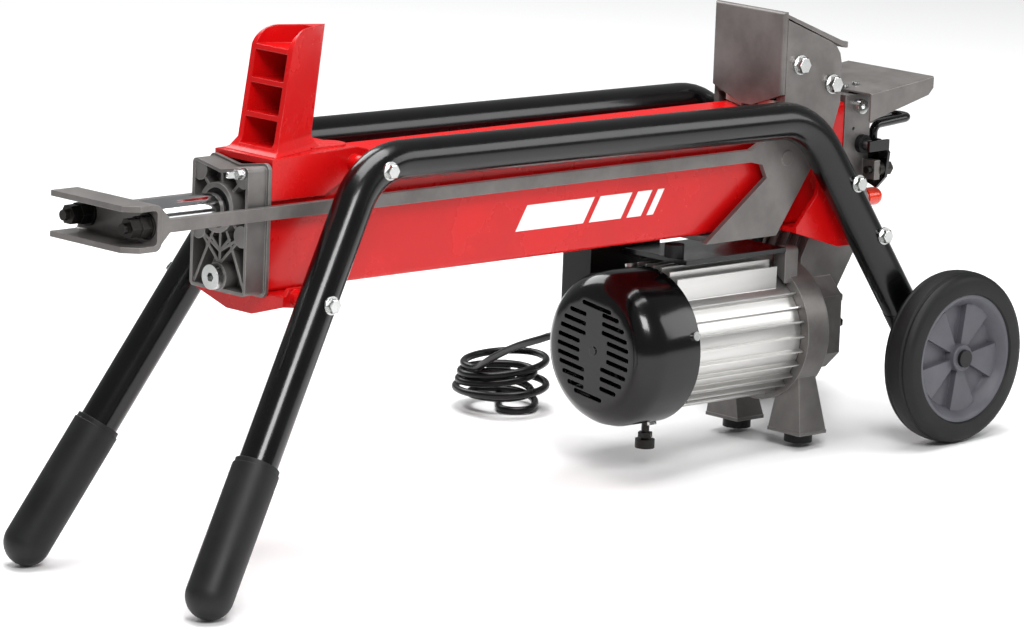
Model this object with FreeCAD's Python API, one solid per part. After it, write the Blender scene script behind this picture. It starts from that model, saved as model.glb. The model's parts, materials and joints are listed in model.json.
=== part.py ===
import FreeCAD, Part
import os
from math import atan2, cos, degrees, hypot, radians, sin, tan

# Electric horizontal log splitter, millimetres.
# Everything is drawn along the splitting beam: X runs from the wedge to the
# wheels, Y to the far side, Z square to the beam, with the origin at the top
# middle of the front end cap.  place() then tips the beam by PITCH, because
# the front legs are longer than the wheels are tall, and puts the floor at Z = 0.

V = FreeCAD.Vector

# ---------------------------------------------------------------- driving sizes
PITCH = 3.07                    # the beam's slope, front end up, degrees
FLOOR_DROP = 391.82             # origin of the beam above the floor
CENTRE_X = 397.85               # middle of the footprint along the floor

BEAM_HALF = 36.0                # half the beam's width
BEAM_H = 121.0
BEAM_WALL = 3.0
BEAM_X0, BEAM_X1 = 28.0, 812.0
VEE = 6.0                       # depth of the trough along the top

CAP_HALF, CAP_TOP, CAP_BOTTOM = 39.8, 1.2, -122.2
CAP_DEPTH, LIP, LIP_OVER = 27.0, 4.0, 2.7

ROD_R, ROD_Z = 15.0, -42.0      # piston rod
BORE_R, BARREL_R = 25.0, 29.0

BAR_IN, BAR_OUT = 44.0, 50.0    # the pull bars and side plates lie between these
BAR_TOP, BAR_LOW = -36.5, -49.0

HEAD_X0, HEAD_X1 = -158.0, -119.0   # cross-head channel at the rod's end
HEAD_HALF, HEAD_TOP, HEAD_LOW, HEAD_T = 57.0, -20.0, -64.0, 5.5

PUSH_X = 703.0                  # face of the pusher when it is drawn back
PUSH_T, PUSH_HALF, PUSH_TOP = 6.0, 49.5, 100.0

TUBE_R, TUBE_WALL, BEND_R = 19.05, 2.0, 76.0
RAIL_Y = 72.0
CORNER_F = V(121.7, RAIL_Y, 0.3)        # where rail and front leg axes cross
CORNER_R = V(720.0, RAIL_Y, -5.5)
FOOT = V(-113.4, 132.6, -375.3)
LEG_END = V(883.0, 94.0, -256.0)
GRIP_R, GRIP_AT = 23.0, 0.715           # grip starts this far down the leg

WHEEL_R, WHEEL_W, WHEEL_Y = 88.9, 38.0, 138.0
RIM_R, AXLE_R = 66.0, 6.0

MOTOR_Z = -233.4
COWL_X0, COWL_X1, COWL_R, GRILL_R = 501.0, 574.0, 79.0, 59.0
BODY_R, FIN_R, BODY_X1 = 63.0, 69.0, 735.0
FLANGE_X1, FLANGE_R = 765.0, 74.0
FOOT_Y, FOOT_X, FOOT_Z = 44.0, 758.0, -347.0

BLOCK_X0, BLOCK_X1 = 812.3, 850.0       # valve block that closes the rear end
SPOOL_X, SPOOL_Z, SPOOL_R = 838.0, -46.0, 5.0
LEVER_X, LEVER_Y, LEVER_Z = 857.0, -48.0, -72.0

BUTTON_Y, BUTTON_Z, BUTTON_R = -26.0, -105.5, 9.5
CORD_R = 3.9

os.makedirs("parts", exist_ok=True)


# ---------------------------------------------------------------- small helpers
def box(x0, x1, y0, y1, z0, z1):
    return Part.makeBox(x1 - x0, y1 - y0, z1 - z0, V(x0, y0, z0))


def rod(start, end, radius):
    axis = end - start
    return Part.makeCylinder(radius, axis.Length, start, axis)


def rod_x(x0, x1, y, z, radius):
    return Part.makeCylinder(radius, x1 - x0, V(x0, y, z), V(1, 0, 0))


def rod_y(x, y0, y1, z, radius):
    return Part.makeCylinder(radius, y1 - y0, V(x, y0, z), V(0, 1, 0))


def rod_z(x, y, z0, z1, radius):
    return Part.makeCylinder(radius, z1 - z0, V(x, y, z0), V(0, 0, 1))


def plate(points, along):
    """A flat plate from its outline, given as vectors, and its thickness as a vector."""
    return Part.Face(Part.makePolygon(points + [points[0]])).extrude(along)


def side_plate(outline, y0, y1):
    return plate([V(x, y0, z) for x, z in outline], V(0, y1 - y0, 0))


def front_plate(outline, x0, x1):
    return plate([V(x0, y, z) for y, z in outline], V(x1 - x0, 0, 0))


def fuse(shapes):
    whole = shapes[0].multiFuse(shapes[1:]) if len(shapes) > 1 else shapes[0]
    return whole.removeSplitter()


def cut(shape, tools):
    for tool in tools:
        shape = shape.cut(tool)
    return shape


def round_upright(shape, radius, test):
    """Round the edges that test() picks."""
    return shape.makeFillet(radius, [e for e in shape.Edges if test(e)])


def along_x(edge):
    a, b = edge.Vertexes[0].Point, edge.Vertexes[-1].Point
    return (a - b).Length > 1 and abs((a - b).x) > 0.99 * (a - b).Length


def along_y(edge):
    a, b = edge.Vertexes[0].Point, edge.Vertexes[-1].Point
    return (a - b).Length > 1 and abs((a - b).y) > 0.99 * (a - b).Length


def mirror(shape):
    return shape.mirror(V(0, 0, 0), V(0, 1, 0))


def hexagon(centre, axis, across, height):
    """A hexagonal prism across the flats, from centre along axis."""
    axis = V(axis).normalize()
    side = V(0, 0, 1) if abs(axis.z) < 0.5 else V(1, 0, 0)
    u = axis.cross(side).normalize()
    w = axis.cross(u)
    r = across / 2 / cos(radians(30))
    ring = [centre + u * (r * cos(radians(60 * k))) + w * (r * sin(radians(60 * k))) for k in range(6)]
    return plate(ring, axis * height)


def bolt(seat, axis, shank_r, length, across, head_h, washer_r=0.0, washer_h=0.0):
    """A hex bolt: seat is where the washer lies, axis points from the head to the tip."""
    axis = V(axis).normalize()
    parts = [rod(seat - axis * washer_h, seat + axis * length, shank_r)]
    if washer_h:
        parts.append(rod(seat - axis * washer_h, seat, washer_r))
    parts.append(hexagon(seat - axis * (washer_h + head_h), axis, across, head_h))
    return fuse(parts)


def bent_path(points, radius):
    """Straight runs joined by tangent arcs, as one wire."""
    edges = []
    start = points[0]
    for before, corner, after in zip(points, points[1:], points[2:]):
        u = (before - corner).normalize()
        w = (after - corner).normalize()
        half = u.getAngle(w) / 2
        reach = radius / tan(half)
        a, b = corner + u * reach, corner + w * reach
        mid_dir = (u + w).normalize()
        centre = corner + mid_dir * (radius / sin(half))
        middle = centre - mid_dir * radius
        edges.append(Part.LineSegment(start, a).toShape())
        edges.append(Part.Arc(a, middle, b).toShape())
        start = b
    edges.append(Part.LineSegment(start, points[-1]).toShape())
    return Part.Wire(edges)


def sweep(path, radius):
    first = path.Edges[0]
    direction = first.Vertexes[-1].Point - first.Vertexes[0].Point
    ring = Part.Wire(Part.makeCircle(radius, first.Vertexes[0].Point, direction))
    return path.makePipeShell([ring], True, False)


def place(shape):
    """From the beam's own axes to the finished frame, with the floor at Z = 0."""
    shape = shape.copy()
    shape.rotate(V(0, 0, 0), V(0, 1, 0), PITCH)
    shape.translate(V(-CENTRE_X, 0, FLOOR_DROP))
    return shape


def save(name, shape):
    shape.exportStep("parts/%s.step" % name)
    print("%-20s solids %2d  volume %10.1f  valid %s"
          % (name, len(shape.Solids), shape.Volume, shape.isValid()))


def save_beam(name, shapes):
    """Save pieces drawn on the beam's axes; several like pieces share the node."""
    shapes = shapes if isinstance(shapes, list) else [shapes]
    placed = [place(s) for s in shapes]
    save(name, placed[0] if len(placed) == 1 else Part.makeCompound(placed))


# ---------------------------------------------------------------- beam and cap
def beam_outline(half, top, vee, bottom):
    return [(-half, top), (0, top - vee), (half, top), (half, bottom), (-half, bottom)]


def beam_tank():
    """The red box beam, which is also the oil tank."""
    outer = front_plate(beam_outline(BEAM_HALF, 0, VEE, -BEAM_H), BEAM_X0, BEAM_X1)
    outer = round_upright(outer, 5.0, lambda e: along_x(e) and abs(e.CenterOfMass.y) > 30)
    inner = front_plate(beam_outline(BEAM_HALF - BEAM_WALL, -BEAM_WALL, VEE, BEAM_WALL - BEAM_H),
                        BEAM_X0 - 1, BEAM_X1 + 1)
    return outer.cut(inner)


CAP_BOSSES = [(-31.0, -10.0), (31.0, -10.0), (-31.0, -66.0), (31.0, -66.0)]
PLUG_Y, PLUG_Z = 0.0, -108.0
BLEED_Y, BLEED_Z = -32.0, -5.5
BLEED_R = 3.0


def cap_ribs():
    """The web of thin ribs in the cap's face, as strips from point to point."""
    rod_y0, rod_z0 = 0.0, ROD_Z
    pairs = [((rod_y0, rod_z0), (0, -5)), ((rod_y0, rod_z0), (-31, -10)), ((rod_y0, rod_z0), (31, -10)),
             ((rod_y0, rod_z0), (-31, -66)), ((rod_y0, rod_z0), (31, -66)),
             ((-8, -62), (-36, -118)), ((8, -62), (36, -118)),
             ((0, -60), (0, -100)), ((-31, -66), (PLUG_Y + 4, -100)), ((31, -66), (PLUG_Y - 4, -100)),
             ((-14, -70), (0, -84)), ((14, -70), (0, -84)), ((-31, -66), (0, -84)), ((31, -66), (0, -84))]
    strips = []
    for (y0, z0), (y1, z1) in pairs:
        run = hypot(y1 - y0, z1 - z0)
        ny, nz = -(z1 - z0) / run * 1.4, (y1 - y0) / run * 1.4
        outline = [(y0 + ny, z0 + nz), (y1 + ny, z1 + nz), (y1 - ny, z1 - nz), (y0 - ny, z0 - nz)]
        strips.append(front_plate(outline, 2.0, 19.0))
    return strips


def front_end_cap():
    """Die-cast cap: a ribbed pocket in front, a flange lip behind."""
    block = front_plate(beam_outline(CAP_HALF, CAP_TOP, VEE + 1, CAP_BOTTOM), 0, CAP_DEPTH - LIP)
    block = round_upright(block, 5.0, lambda e: along_x(e) and abs(e.CenterOfMass.y) > 30)
    lip = front_plate(beam_outline(CAP_HALF + LIP_OVER, CAP_TOP + LIP_OVER, VEE + 1, CAP_BOTTOM - LIP_OVER),
                      CAP_DEPTH - LIP, CAP_DEPTH)
    lip = round_upright(lip, 7.0, lambda e: along_x(e) and abs(e.CenterOfMass.y) > 30)
    pocket = front_plate(beam_outline(CAP_HALF - 3.5, CAP_TOP - 3.5, VEE + 1, CAP_BOTTOM + 3.5), -1, 16.0)
    parts = [block.cut(pocket), lip]
    inside = front_plate(beam_outline(CAP_HALF - 2, CAP_TOP - 2, VEE + 1, CAP_BOTTOM + 2), 0.5, 20.0)
    parts += [s.common(inside) for s in cap_ribs()]
    parts += [rod_x(1.0, 18.0, y, z, 10.5).common(inside) for y, z in CAP_BOSSES]
    parts.append(rod_x(-4.0, 18.0, 0, ROD_Z, 24.0))
    parts.append(rod_x(-1.0, 18.0, PLUG_Y, PLUG_Z, 13.5).common(
        box(-1, 18, -40, 40, CAP_BOTTOM + 0.5, 0)))
    parts.append(rod_x(0.0, 18.0, BLEED_Y, BLEED_Z, 6.5).common(inside))
    cap = fuse(parts)
    return cut(cap, [rod_x(-10, 50, 0, ROD_Z, ROD_R + 0.4), rod_x(-10, 7, 0, ROD_Z, 19.0),
                     rod_x(-10, 24, PLUG_Y, PLUG_Z, 7.0),
                     rod_x(-10, 40, BLEED_Y, BLEED_Z, BLEED_R + 0.05)])


def cap_gasket():
    outer = front_plate(beam_outline(CAP_HALF, CAP_TOP, VEE + 1, CAP_BOTTOM), CAP_DEPTH, BEAM_X0)
    inner = front_plate(beam_outline(BEAM_HALF - 4, -4, VEE, -BEAM_H + 4), CAP_DEPTH - 1, BEAM_X0 + 1)
    return outer.cut(inner)


def rod_wiper_seal():
    return rod_x(-2.0, 7.0, 0, ROD_Z, 19.0).cut(rod_x(-5, 10, 0, ROD_Z, ROD_R + 0.08))


def drain_plug():
    """Oil plug with a socket for a hex key; its dipstick reaches into the tank."""
    head = rod_x(-9.0, -1.0, PLUG_Y, PLUG_Z, 12.0)
    shank = rod_x(-1.0, 23.5, PLUG_Y, PLUG_Z, 6.9)
    stick = box(23.5, 150, PLUG_Y - 2.5, PLUG_Y + 2.5, PLUG_Z - 1, PLUG_Z + 1)
    body = fuse([head, shank, stick])
    return body.cut(hexagon(V(-10, PLUG_Y, PLUG_Z), V(1, 0, 0), 8.0, 8.0))


def stick_hole():
    return box(20, 60, PLUG_Y - 3, PLUG_Y + 3, PLUG_Z - 1.5, PLUG_Z + 1.5)


def bleed_screw():
    """Air bleed screw at the cap's upper near corner, with a hex head and a thumb blade."""
    shank = rod_x(-3.0, 12.0, BLEED_Y, BLEED_Z, BLEED_R)
    collar = rod_x(-3.0, -1.0, BLEED_Y, BLEED_Z, 5.5)
    head = hexagon(V(-9.0, BLEED_Y, BLEED_Z), V(1, 0, 0), 9.0, 6.0)
    blade = box(-20.0, -8.0, BLEED_Y - 1.2, BLEED_Y + 1.2, BLEED_Z - 3, BLEED_Z + 3)
    blade = round_upright(blade, 2.4, lambda e: along_y(e) and e.CenterOfMass.x < -19)
    return fuse([shank, collar, head, blade])


# ---------------------------------------------------------------- cylinder and ram
PISTON_X = 470.0


def cylinder_barrel():
    """Steel barrel inside the tank, closed at the rear by its welded head."""
    tube = rod_x(BEAM_X0, 512.0, 0, ROD_Z, BARREL_R).cut(rod_x(BEAM_X0 - 1, 500.0, 0, ROD_Z, BORE_R))
    bush = rod_x(BEAM_X0, 60.0, 0, ROD_Z, BORE_R).cut(rod_x(BEAM_X0 - 1, 61.0, 0, ROD_Z, ROD_R + 0.06))
    port = rod_x(505.0, BLOCK_X0, 0, ROD_Z, 6.0).cut(rod_x(495.0, BLOCK_X0 + 1, 0, ROD_Z, 4.0))
    return fuse([tube, bush, port]).cut(rod_x(495.0, 520.0, 0, ROD_Z, 4.0))


def piston_rod():
    body = rod_x(HEAD_X1 + 8.0, PISTON_X + 24.0, 0, ROD_Z, ROD_R)
    return body.cut(rod_x(PISTON_X, PISTON_X + 30, 0, ROD_Z, ROD_R + 1)).fuse(
        rod_x(PISTON_X - 1, PISTON_X + 24.0, 0, ROD_Z, 9.0)).removeSplitter()


def piston():
    body = rod_x(PISTON_X, PISTON_X + 24.0, 0, ROD_Z, BORE_R - 0.06)
    grooves = [rod_x(PISTON_X + a, PISTON_X + a + 3.5, 0, ROD_Z, BORE_R + 1).cut(
        rod_x(PISTON_X + a - 1, PISTON_X + a + 5, 0, ROD_Z, BORE_R - 3)) for a in (5.0, 15.0)]
    return cut(body, grooves + [rod_x(PISTON_X - 1, PISTON_X + 25, 0, ROD_Z, 9.0)])


def piston_seals():
    return [rod_x(PISTON_X + a, PISTON_X + a + 3.5, 0, ROD_Z, BORE_R - 0.03).cut(
        rod_x(PISTON_X + a - 1, PISTON_X + a + 5, 0, ROD_Z, BORE_R - 3)) for a in (5.0, 15.0)]


HEAD_BOLT_Y = 42.5


def cross_head():
    """Open channel across the rod's end, with the rod's flange behind its web."""
    web_x = HEAD_X1 - HEAD_T
    shell = box(HEAD_X0, HEAD_X1, -HEAD_HALF, HEAD_HALF, HEAD_LOW, HEAD_TOP)
    shell = round_upright(shell, 8.0, lambda e: along_y(e) and e.CenterOfMass.x > HEAD_X1 - 1)
    inside = box(HEAD_X0 - 10, web_x, -HEAD_HALF - 1, HEAD_HALF + 1, HEAD_LOW + HEAD_T, HEAD_TOP - HEAD_T)
    inside = round_upright(inside, 4.0, lambda e: along_y(e) and e.CenterOfMass.x > web_x - 1)
    body = shell.cut(inside)
    corner = plate([V(HEAD_X0 - 1, -HEAD_HALF - 1, -100), V(HEAD_X0 + 14, -HEAD_HALF - 1, -100),
                    V(HEAD_X0 - 1, -HEAD_HALF + 13, -100)], V(0, 0, 120))
    holes = [rod_x(-160, -90, y, ROD_Z, 5.2) for y in (-HEAD_BOLT_Y, HEAD_BOLT_Y)]
    return cut(body, [corner] + holes)


def rod_flange():
    """Plate welded on the rod's end, bolted through the cross-head's web."""
    body = box(HEAD_X1, HEAD_X1 + 8.0, -43.9, 43.9, ROD_Z - 16, ROD_Z + 16)
    body = round_upright(body, 8.0, lambda e: along_x(e))
    return cut(body, [rod_x(-130, -100, y, ROD_Z, 5.2) for y in (-35.0, 35.0)])


def crosshead_bolts():
    """Threaded ends with a washer, a nut and a lock nut inside the channel."""
    made = []
    for y in (-HEAD_BOLT_Y, HEAD_BOLT_Y):
        web = HEAD_X1 - HEAD_T
        made.append(fuse([rod_x(web - 31.0, HEAD_X1 - 0.02, y, ROD_Z, 5.0),
                          rod_x(web - 2.5, web, y, ROD_Z, 12.5),
                          hexagon(V(web - 13.5, y, ROD_Z), V(1, 0, 0), 19.0, 11.0),
                          hexagon(V(web - 25.0, y, ROD_Z), V(1, 0, 0), 17.0, 11.5)]))
    return made


SIDE_OUTLINE = [(PUSH_X + PUSH_T, 92.0), (772.0, 66.1), (781.0, 61.0), (787.0, 53.0), (790.0, 42.0),
                (790.0, 2.0), (778.0, -32.0), (749.0, -66.0), (705.0, -127.5), (604.0, -127.5),
                (688.0, -67.0), (681.0, -53.0), (664.0, BAR_LOW), (664.0, BAR_TOP), (676.0, -31.0), (700.0, -26.0), (PUSH_X + PUSH_T, -14.0)]
PUSH_BOLTS = [(728.3, 45.4), (776.7, 22.2)]


def tie_bar():
    """Pull bar from the cross-head, ending in the pusher's side plate; the far side's one."""
    bar = box(HEAD_X1, 665.0, BAR_IN, BAR_OUT, BAR_LOW, BAR_TOP)
    flare = side_plate([(HEAD_X1, -24.0), (HEAD_X1 + 4, -24.0), (HEAD_X1 + 16, BAR_TOP), (HEAD_X1 + 16, BAR_LOW),
                        (HEAD_X1 + 4, -61.0), (HEAD_X1, -61.0)], BAR_IN, BAR_OUT)
    side = side_plate(SIDE_OUTLINE, BAR_IN, BAR_OUT)
    bump = rod_y(716.0, BAR_OUT - 1, BAR_OUT + 1.2, -49.0, 8.0)
    body = fuse([bar, flare, side, bump])
    return cut(body, [rod_y(x, 30, 60, z, 5.2) for x, z in PUSH_BOLTS])


def pusher_plate():
    """Bent sheet: the face that meets the log, and the cover sloping down behind it."""
    low = [(-PUSH_HALF, PUSH_TOP), (-PUSH_HALF, 16.0), (-8.0, 0.6), (8.0, 0.6), (PUSH_HALF, 16.0),
           (PUSH_HALF, PUSH_TOP)]
    face = front_plate(low, PUSH_X, PUSH_X + PUSH_T)
    cover = side_plate([(PUSH_X, PUSH_TOP), (PUSH_X + PUSH_T, 94.0), (794.0, 58.0), (806.0, 57.0), (806.0, 62.5),
                        (795.0, 63.5)], -PUSH_HALF, PUSH_HALF)
    plan = box(PUSH_X, 806.0, -PUSH_HALF, PUSH_HALF, 40.0, PUSH_TOP)
    plan = round_upright(plan, 13.0, lambda e: e.CenterOfMass.x > 805 and abs(e.CenterOfMass.y) > PUSH_HALF - 1)
    body = fuse([face, cover.common(plan)])
    return round_upright(body, 4.0, lambda e: e.CenterOfMass.x < PUSH_X + 1 and e.Length > 60)


def pusher_block():
    """Welded filler between the side plates, tapped for the four bolts; it rides over the beam."""
    block = side_plate([(PUSH_X + PUSH_T, 90.5), (786.0, 57.5), (786.0, 8.0), (PUSH_X + PUSH_T, 8.0)],
                       -BAR_IN, BAR_IN)
    hollow = side_plate([(PUSH_X + PUSH_T - 1, 84.0), (780.0, 52.0), (780.0, 0.0), (PUSH_X + PUSH_T - 1, 0.0)],
                        -BAR_IN + 6, BAR_IN - 6)
    body = block.cut(hollow)
    return cut(body, [rod_y(x, -60, 60, z, 5.0) for x, z in PUSH_BOLTS])


def pusher_bolts():
    made = []
    for x, z in PUSH_BOLTS:
        near = bolt(V(x, -BAR_OUT, z), V(0, 1, 0), 5.0, 11.5, 16.0, 6.5, 10.0, 2.0)
        made += [near, mirror(near)]
    return made


def pusher_keeper():
    """Flat bar under the beam that keeps the pusher down."""
    return box(612.0, 700.0, -BAR_IN, BAR_IN, -127.5, -121.8)


def wear_pads():
    """Nylon strips on which the pusher slides along the top of the beam."""
    pad = front_plate([(12.0, 8.0), (12.0, -3.6), (34.0, 0.3), (34.0, 8.0)], PUSH_X + PUSH_T + 0.5, 784.0)
    return [pad, mirror(pad)]


# ---------------------------------------------------------------- wedge and brackets
WEDGE_HALF = 29.0


def wedge():
    """Cast wedge with a hollow back; its edge faces the pusher."""
    def plan(z, grow=0.0):
        back, tip = 43.0 + 0.16 * z, 111.0 + 0.12 * z
        return [V(back - grow, -WEDGE_HALF - grow, z), V(tip - 2 + grow, -1.2 - grow, z), V(tip + grow, 0, z),
                V(tip - 2 + grow, 1.2 + grow, z), V(back - grow, WEDGE_HALF + grow, z)]

    def loft(low, high):
        wires = [Part.makePolygon(p + [p[0]]) for p in (low, high)]
        return Part.makeLoft(wires, True, True)
    body = loft(plan(14.0), plan(123.0))
    turn_x, turn_z, turn_r = 84.5, 97.0, 26.0
    corner = box(20, turn_x, -60, 60, turn_z, 140).cut(rod_y(turn_x, -60, 60, turn_z, turn_r))
    body = body.cut(corner)
    foot = fuse([loft(plan(6.2, 9.0), plan(9.5, 4.5)), loft(plan(9.5, 4.5), plan(18.0))])
    pockets = []
    for z0, z1 in ((13.0, 38.0), (43.0, 70.0), (75.0, 101.0), (106.0, 140.0)):
        def ring(z):
            back = 43.0 + 0.16 * z
            return [V(back - 12, -22.5, z), V(back + 10, -22.5, z), V(back + 42, -6.5, z),
                    V(back + 42, 6.5, z), V(back + 10, 22.5, z), V(back - 12, 22.5, z)]
        pockets.append(loft(ring(z0), ring(z1)))
    return cut(fuse([body, foot]), pockets)


def front_saddle():
    """Red plate folded over the beam's front end, under the wedge."""
    top = box(BEAM_X0 + 0.5, 150.0, -BEAM_HALF - 5, BEAM_HALF + 5, 0.0, 6.2)
    side = side_plate([(BEAM_X0 + 0.5, 6.2), (136.0, 10.0), (148.0, 7.0), (152.0, -4.0), (96.0, -33.0),
                       (BEAM_X0 + 0.5, -33.0)], BEAM_HALF, BEAM_HALF + 5)
    tongue = rod_z(136.0, 0.0, 2.0, 8.0, 16.0).fuse(box(100, 136, -16, 16, 2.0, 8.0))
    spacer = rod_y(131.8, BEAM_HALF + 5, RAIL_Y, -5.6, 9.0)
    return [top, side, mirror(side), tongue, spacer, mirror(spacer)]


def front_leg_bracket():
    """Red cross plate under the beam's front end; its ears take the lower leg bolts."""
    x0, x1, half, low = BEAM_X0 + 0.4, 84.0, 62.0, -BEAM_H - 5.0
    shelf = box(x0, x1, -half, half, low, -BEAM_H)
    apron = front_plate([(-half, -BEAM_H), (half, -BEAM_H), (half, -131.0), (18.0, -144.0), (-18.0, -144.0),
                         (-half, -131.0)], x0, x0 + 5.0)
    ear = side_plate([(x0, low), (36.0, -114.0), (54.0, -114.0), (62.0, -BEAM_H), (x1, -BEAM_H), (x1, low),
                      (60.0, -135.0), (x0, -131.0)], half - 5.0, half)
    bolt_at = leg_point(0.327)
    spacer = rod_y(bolt_at.x, half, bolt_at.y, bolt_at.z, 8.0)
    return [shelf, apron, ear, mirror(ear), spacer, mirror(spacer)]


REAR_BOLTS = [(772.0, -73.0), (809.0, -129.5)]


def rear_leg_bracket():
    """Red cross plate under the beam's rear end, with an ear up each side."""
    shelf = box(727.0, 822.0, -57.0, 57.0, -126.5, -BEAM_H)
    ear = side_plate([(792.0, -58.0), (795.0, -75.0), (822.0, -118.0), (822.0, -146.0), (790.0, -146.0),
                      (727.0, -126.5), (727.0, -120.0), (755.0, -90.0), (762.0, -58.0)], 52.0, 57.0)
    spacers = [rod_y(x, 57.0, 78.0, z, 9.0) for x, z in REAR_BOLTS]
    return [shelf, ear, mirror(ear)] + spacers + [mirror(s) for s in spacers]


# ---------------------------------------------------------------- frame tubes
def leg_point(part):
    """A point on the far front leg's axis, part of the way down to the foot."""
    return CORNER_F + (FOOT - CORNER_F) * part


def tube_path(end_front, end_rear):
    return bent_path([end_front, CORNER_F, CORNER_R, end_rear], BEND_R)


def frame_tube():
    """One bent tube: front leg, rail and rear leg; the rear end is squashed flat for the axle."""
    down = (LEG_END - CORNER_R).normalize()
    flat_start = LEG_END - down * 58.0
    path = tube_path(leg_point(0.985), flat_start)
    outer = sweep(path, TUBE_R)
    hollow = sweep(path, TUBE_R - TUBE_WALL)
    hollow = hollow.fuse(rod(flat_start - down * 1, flat_start + down * 0.01, TUBE_R - TUBE_WALL))
    wide = V(0, 1, 0).cross(down).normalize()
    thin = down.cross(wide).normalize()

    def stadium(centre, half_wide, half_thin):
        a, b = centre + wide * half_wide, centre - wide * half_wide
        return Part.Wire([
            Part.LineSegment(a + thin * half_thin, b + thin * half_thin).toShape(),
            Part.Arc(b + thin * half_thin, b - wide * half_thin, b - thin * half_thin).toShape(),
            Part.LineSegment(b - thin * half_thin, a - thin * half_thin).toShape(),
            Part.Arc(a - thin * half_thin, a + wide * half_thin, a + thin * half_thin).toShape()])
    neck = Part.makeLoft([stadium(flat_start, 0.5, TUBE_R - 0.02), stadium(flat_start + down * 26, 13.0, 9.0)],
                         True, True)
    tab = Part.Face(stadium(flat_start + down * 26, 13.0, 9.0)).extrude(down * 50.0)
    tube = fuse([outer.cut(hollow), neck, tab])
    tube = tube.cut(rod_y(LEG_END.x, 40, 150, LEG_END.z, AXLE_R + 0.05))
    return tube, fuse([outer, neck, tab])


def tube_bolts():
    """Where the frame bolts go on the far side: seat on the tube, and how long each is."""
    lower = leg_point(0.327)
    seats = [(131.8, -5.6, RAIL_Y + TUBE_R), (lower.x, lower.z, lower.y + TUBE_R)]
    for x, z in REAR_BOLTS:
        part = (CORNER_R.z - z) / (CORNER_R.z - LEG_END.z)
        y = RAIL_Y + (LEG_END.y - RAIL_Y) * part
        seats.append((x, z, y + TUBE_R))
    return seats


def frame_bolts():
    made = []
    for x, z, y in tube_bolts():
        made.append(bolt(V(x, y + 0.3, z), V(0, -1, 0), 4.0, 2 * TUBE_R + 2.0, 13.0, 5.5, 9.0, 1.8))
    return made


def foot_grip():
    """Rubber sleeve on the far front leg, closed by a ball end."""
    top, end = leg_point(GRIP_AT), FOOT
    sleeve = rod(top, end, GRIP_R)
    ball = Part.makeSphere(GRIP_R, end)
    lip = rod(top - (end - top).normalize() * 5, top, GRIP_R - 1.2)
    body = fuse([sleeve, ball, lip])
    return body.cut(rod(leg_point(0.5), leg_point(0.985), TUBE_R))


# ---------------------------------------------------------------- wheels
def revolve_y(profile):
    """Turn a (y, radius) outline about the wheel's axis."""
    points = [V(LEG_END.x, y, LEG_END.z + r) for y, r in profile]
    face = Part.Face(Part.makePolygon(points + [points[0]]))
    return face.revolve(V(LEG_END.x, 0, LEG_END.z), V(0, 1, 0), 360)


def both_faces(profile):
    """A (y from the wheel's middle, radius) outline and its mirror, as one closed outline."""
    return [(WHEEL_Y + y, r) for y, r in profile] + [(WHEEL_Y - y, r) for y, r in reversed(profile)]


def wheel_tyre():
    """Solid rubber tyre: rounded shoulders, two shallow grooves and a step at the rim."""
    return revolve_y(both_faces([
        (17.0, RIM_R), (19.0, RIM_R + 1.5), (19.0, 79.0), (17.8, 83.0), (15.2, 86.0), (12.0, 87.4), (10.4, 86.6),
        (9.2, 86.6), (7.6, 88.4), (3.5, WHEEL_R), (0.0, WHEEL_R)]))


SPOKES, SPOKE_ANGLE = 5, 63.0


def wheel_rim():
    """Plastic wheel: dished ring, closed web, five wedge-shaped spokes and a hub."""
    x, z = LEG_END.x, LEG_END.z
    ring = revolve_y(both_faces([(1.5, 12.0), (1.5, 52.0), (7.0, 54.0), (14.5, 60.0), (17.0, 63.0), (17.0, RIM_R),
                                 (0.0, RIM_R)]))
    hub = rod_y(x, WHEEL_Y - 19, WHEEL_Y + 15, z, 14.0)
    parts = [ring, hub]
    for k in range(SPOKES):
        a = radians(360.0 / SPOKES * k + SPOKE_ANGLE)
        u, w = V(cos(a), 0, sin(a)), V(-sin(a), 0, cos(a))
        c = V(x, WHEEL_Y - 9.0, z)
        parts.append(plate([c + u * 11 + w * 4.0, c + u * 52.5 + w * 18.0, c + u * 56 + w * 6.0, c + u * 56 - w * 6.0,
                            c + u * 52.5 - w * 18.0, c + u * 11 - w * 4.0], V(0, 18.0, 0)))
    return fuse(parts).cut(rod_y(x, 0, 300, z, AXLE_R + 0.08))


def wheel_axles():
    """Two stub axles: bolts put through the flattened leg ends from inside."""
    x, z = LEG_END.x, LEG_END.z
    axle = fuse([rod_y(x, 82.0, WHEEL_Y + 18, z, AXLE_R), rod_y(x, 82.2, 83.9, z, 12.0),
                 hexagon(V(x, 74.2, z), V(0, 1, 0), 17.0, 8.0)])
    return [axle, mirror(axle)]


def hub_caps():
    """Push-on caps that hold the wheels on the axles, and the collars behind the wheels."""
    cap = rod_y(LEG_END.x, WHEEL_Y + 15.3, WHEEL_Y + 19.0, LEG_END.z, 9.0)
    cap = cap.cut(rod_y(LEG_END.x, WHEEL_Y, WHEEL_Y + 18, LEG_END.z, AXLE_R))
    collar = rod_y(LEG_END.x, 105.5, WHEEL_Y - 19.4, LEG_END.z, 10.0).cut(
        rod_y(LEG_END.x, 90, WHEEL_Y, LEG_END.z, AXLE_R))
    return [cap, mirror(cap), collar, mirror(collar)]


# ---------------------------------------------------------------- motor and pump
def revolve_x(profile):
    """Turn an (x, radius) outline about the motor's axis."""
    points = [V(x, 0, MOTOR_Z + r) for x, r in profile]
    face = Part.Face(Part.makePolygon(points + [points[0]]))
    return face.revolve(V(0, 0, MOTOR_Z), V(1, 0, 0), 360)


SLOT_HALF, SLOT_SLANT = 2.2, 8.0
COWL_SCREWS, COWL_SCREW_X = (75.0, 165.0, 255.0, 345.0), COWL_X1 - 6.0


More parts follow.
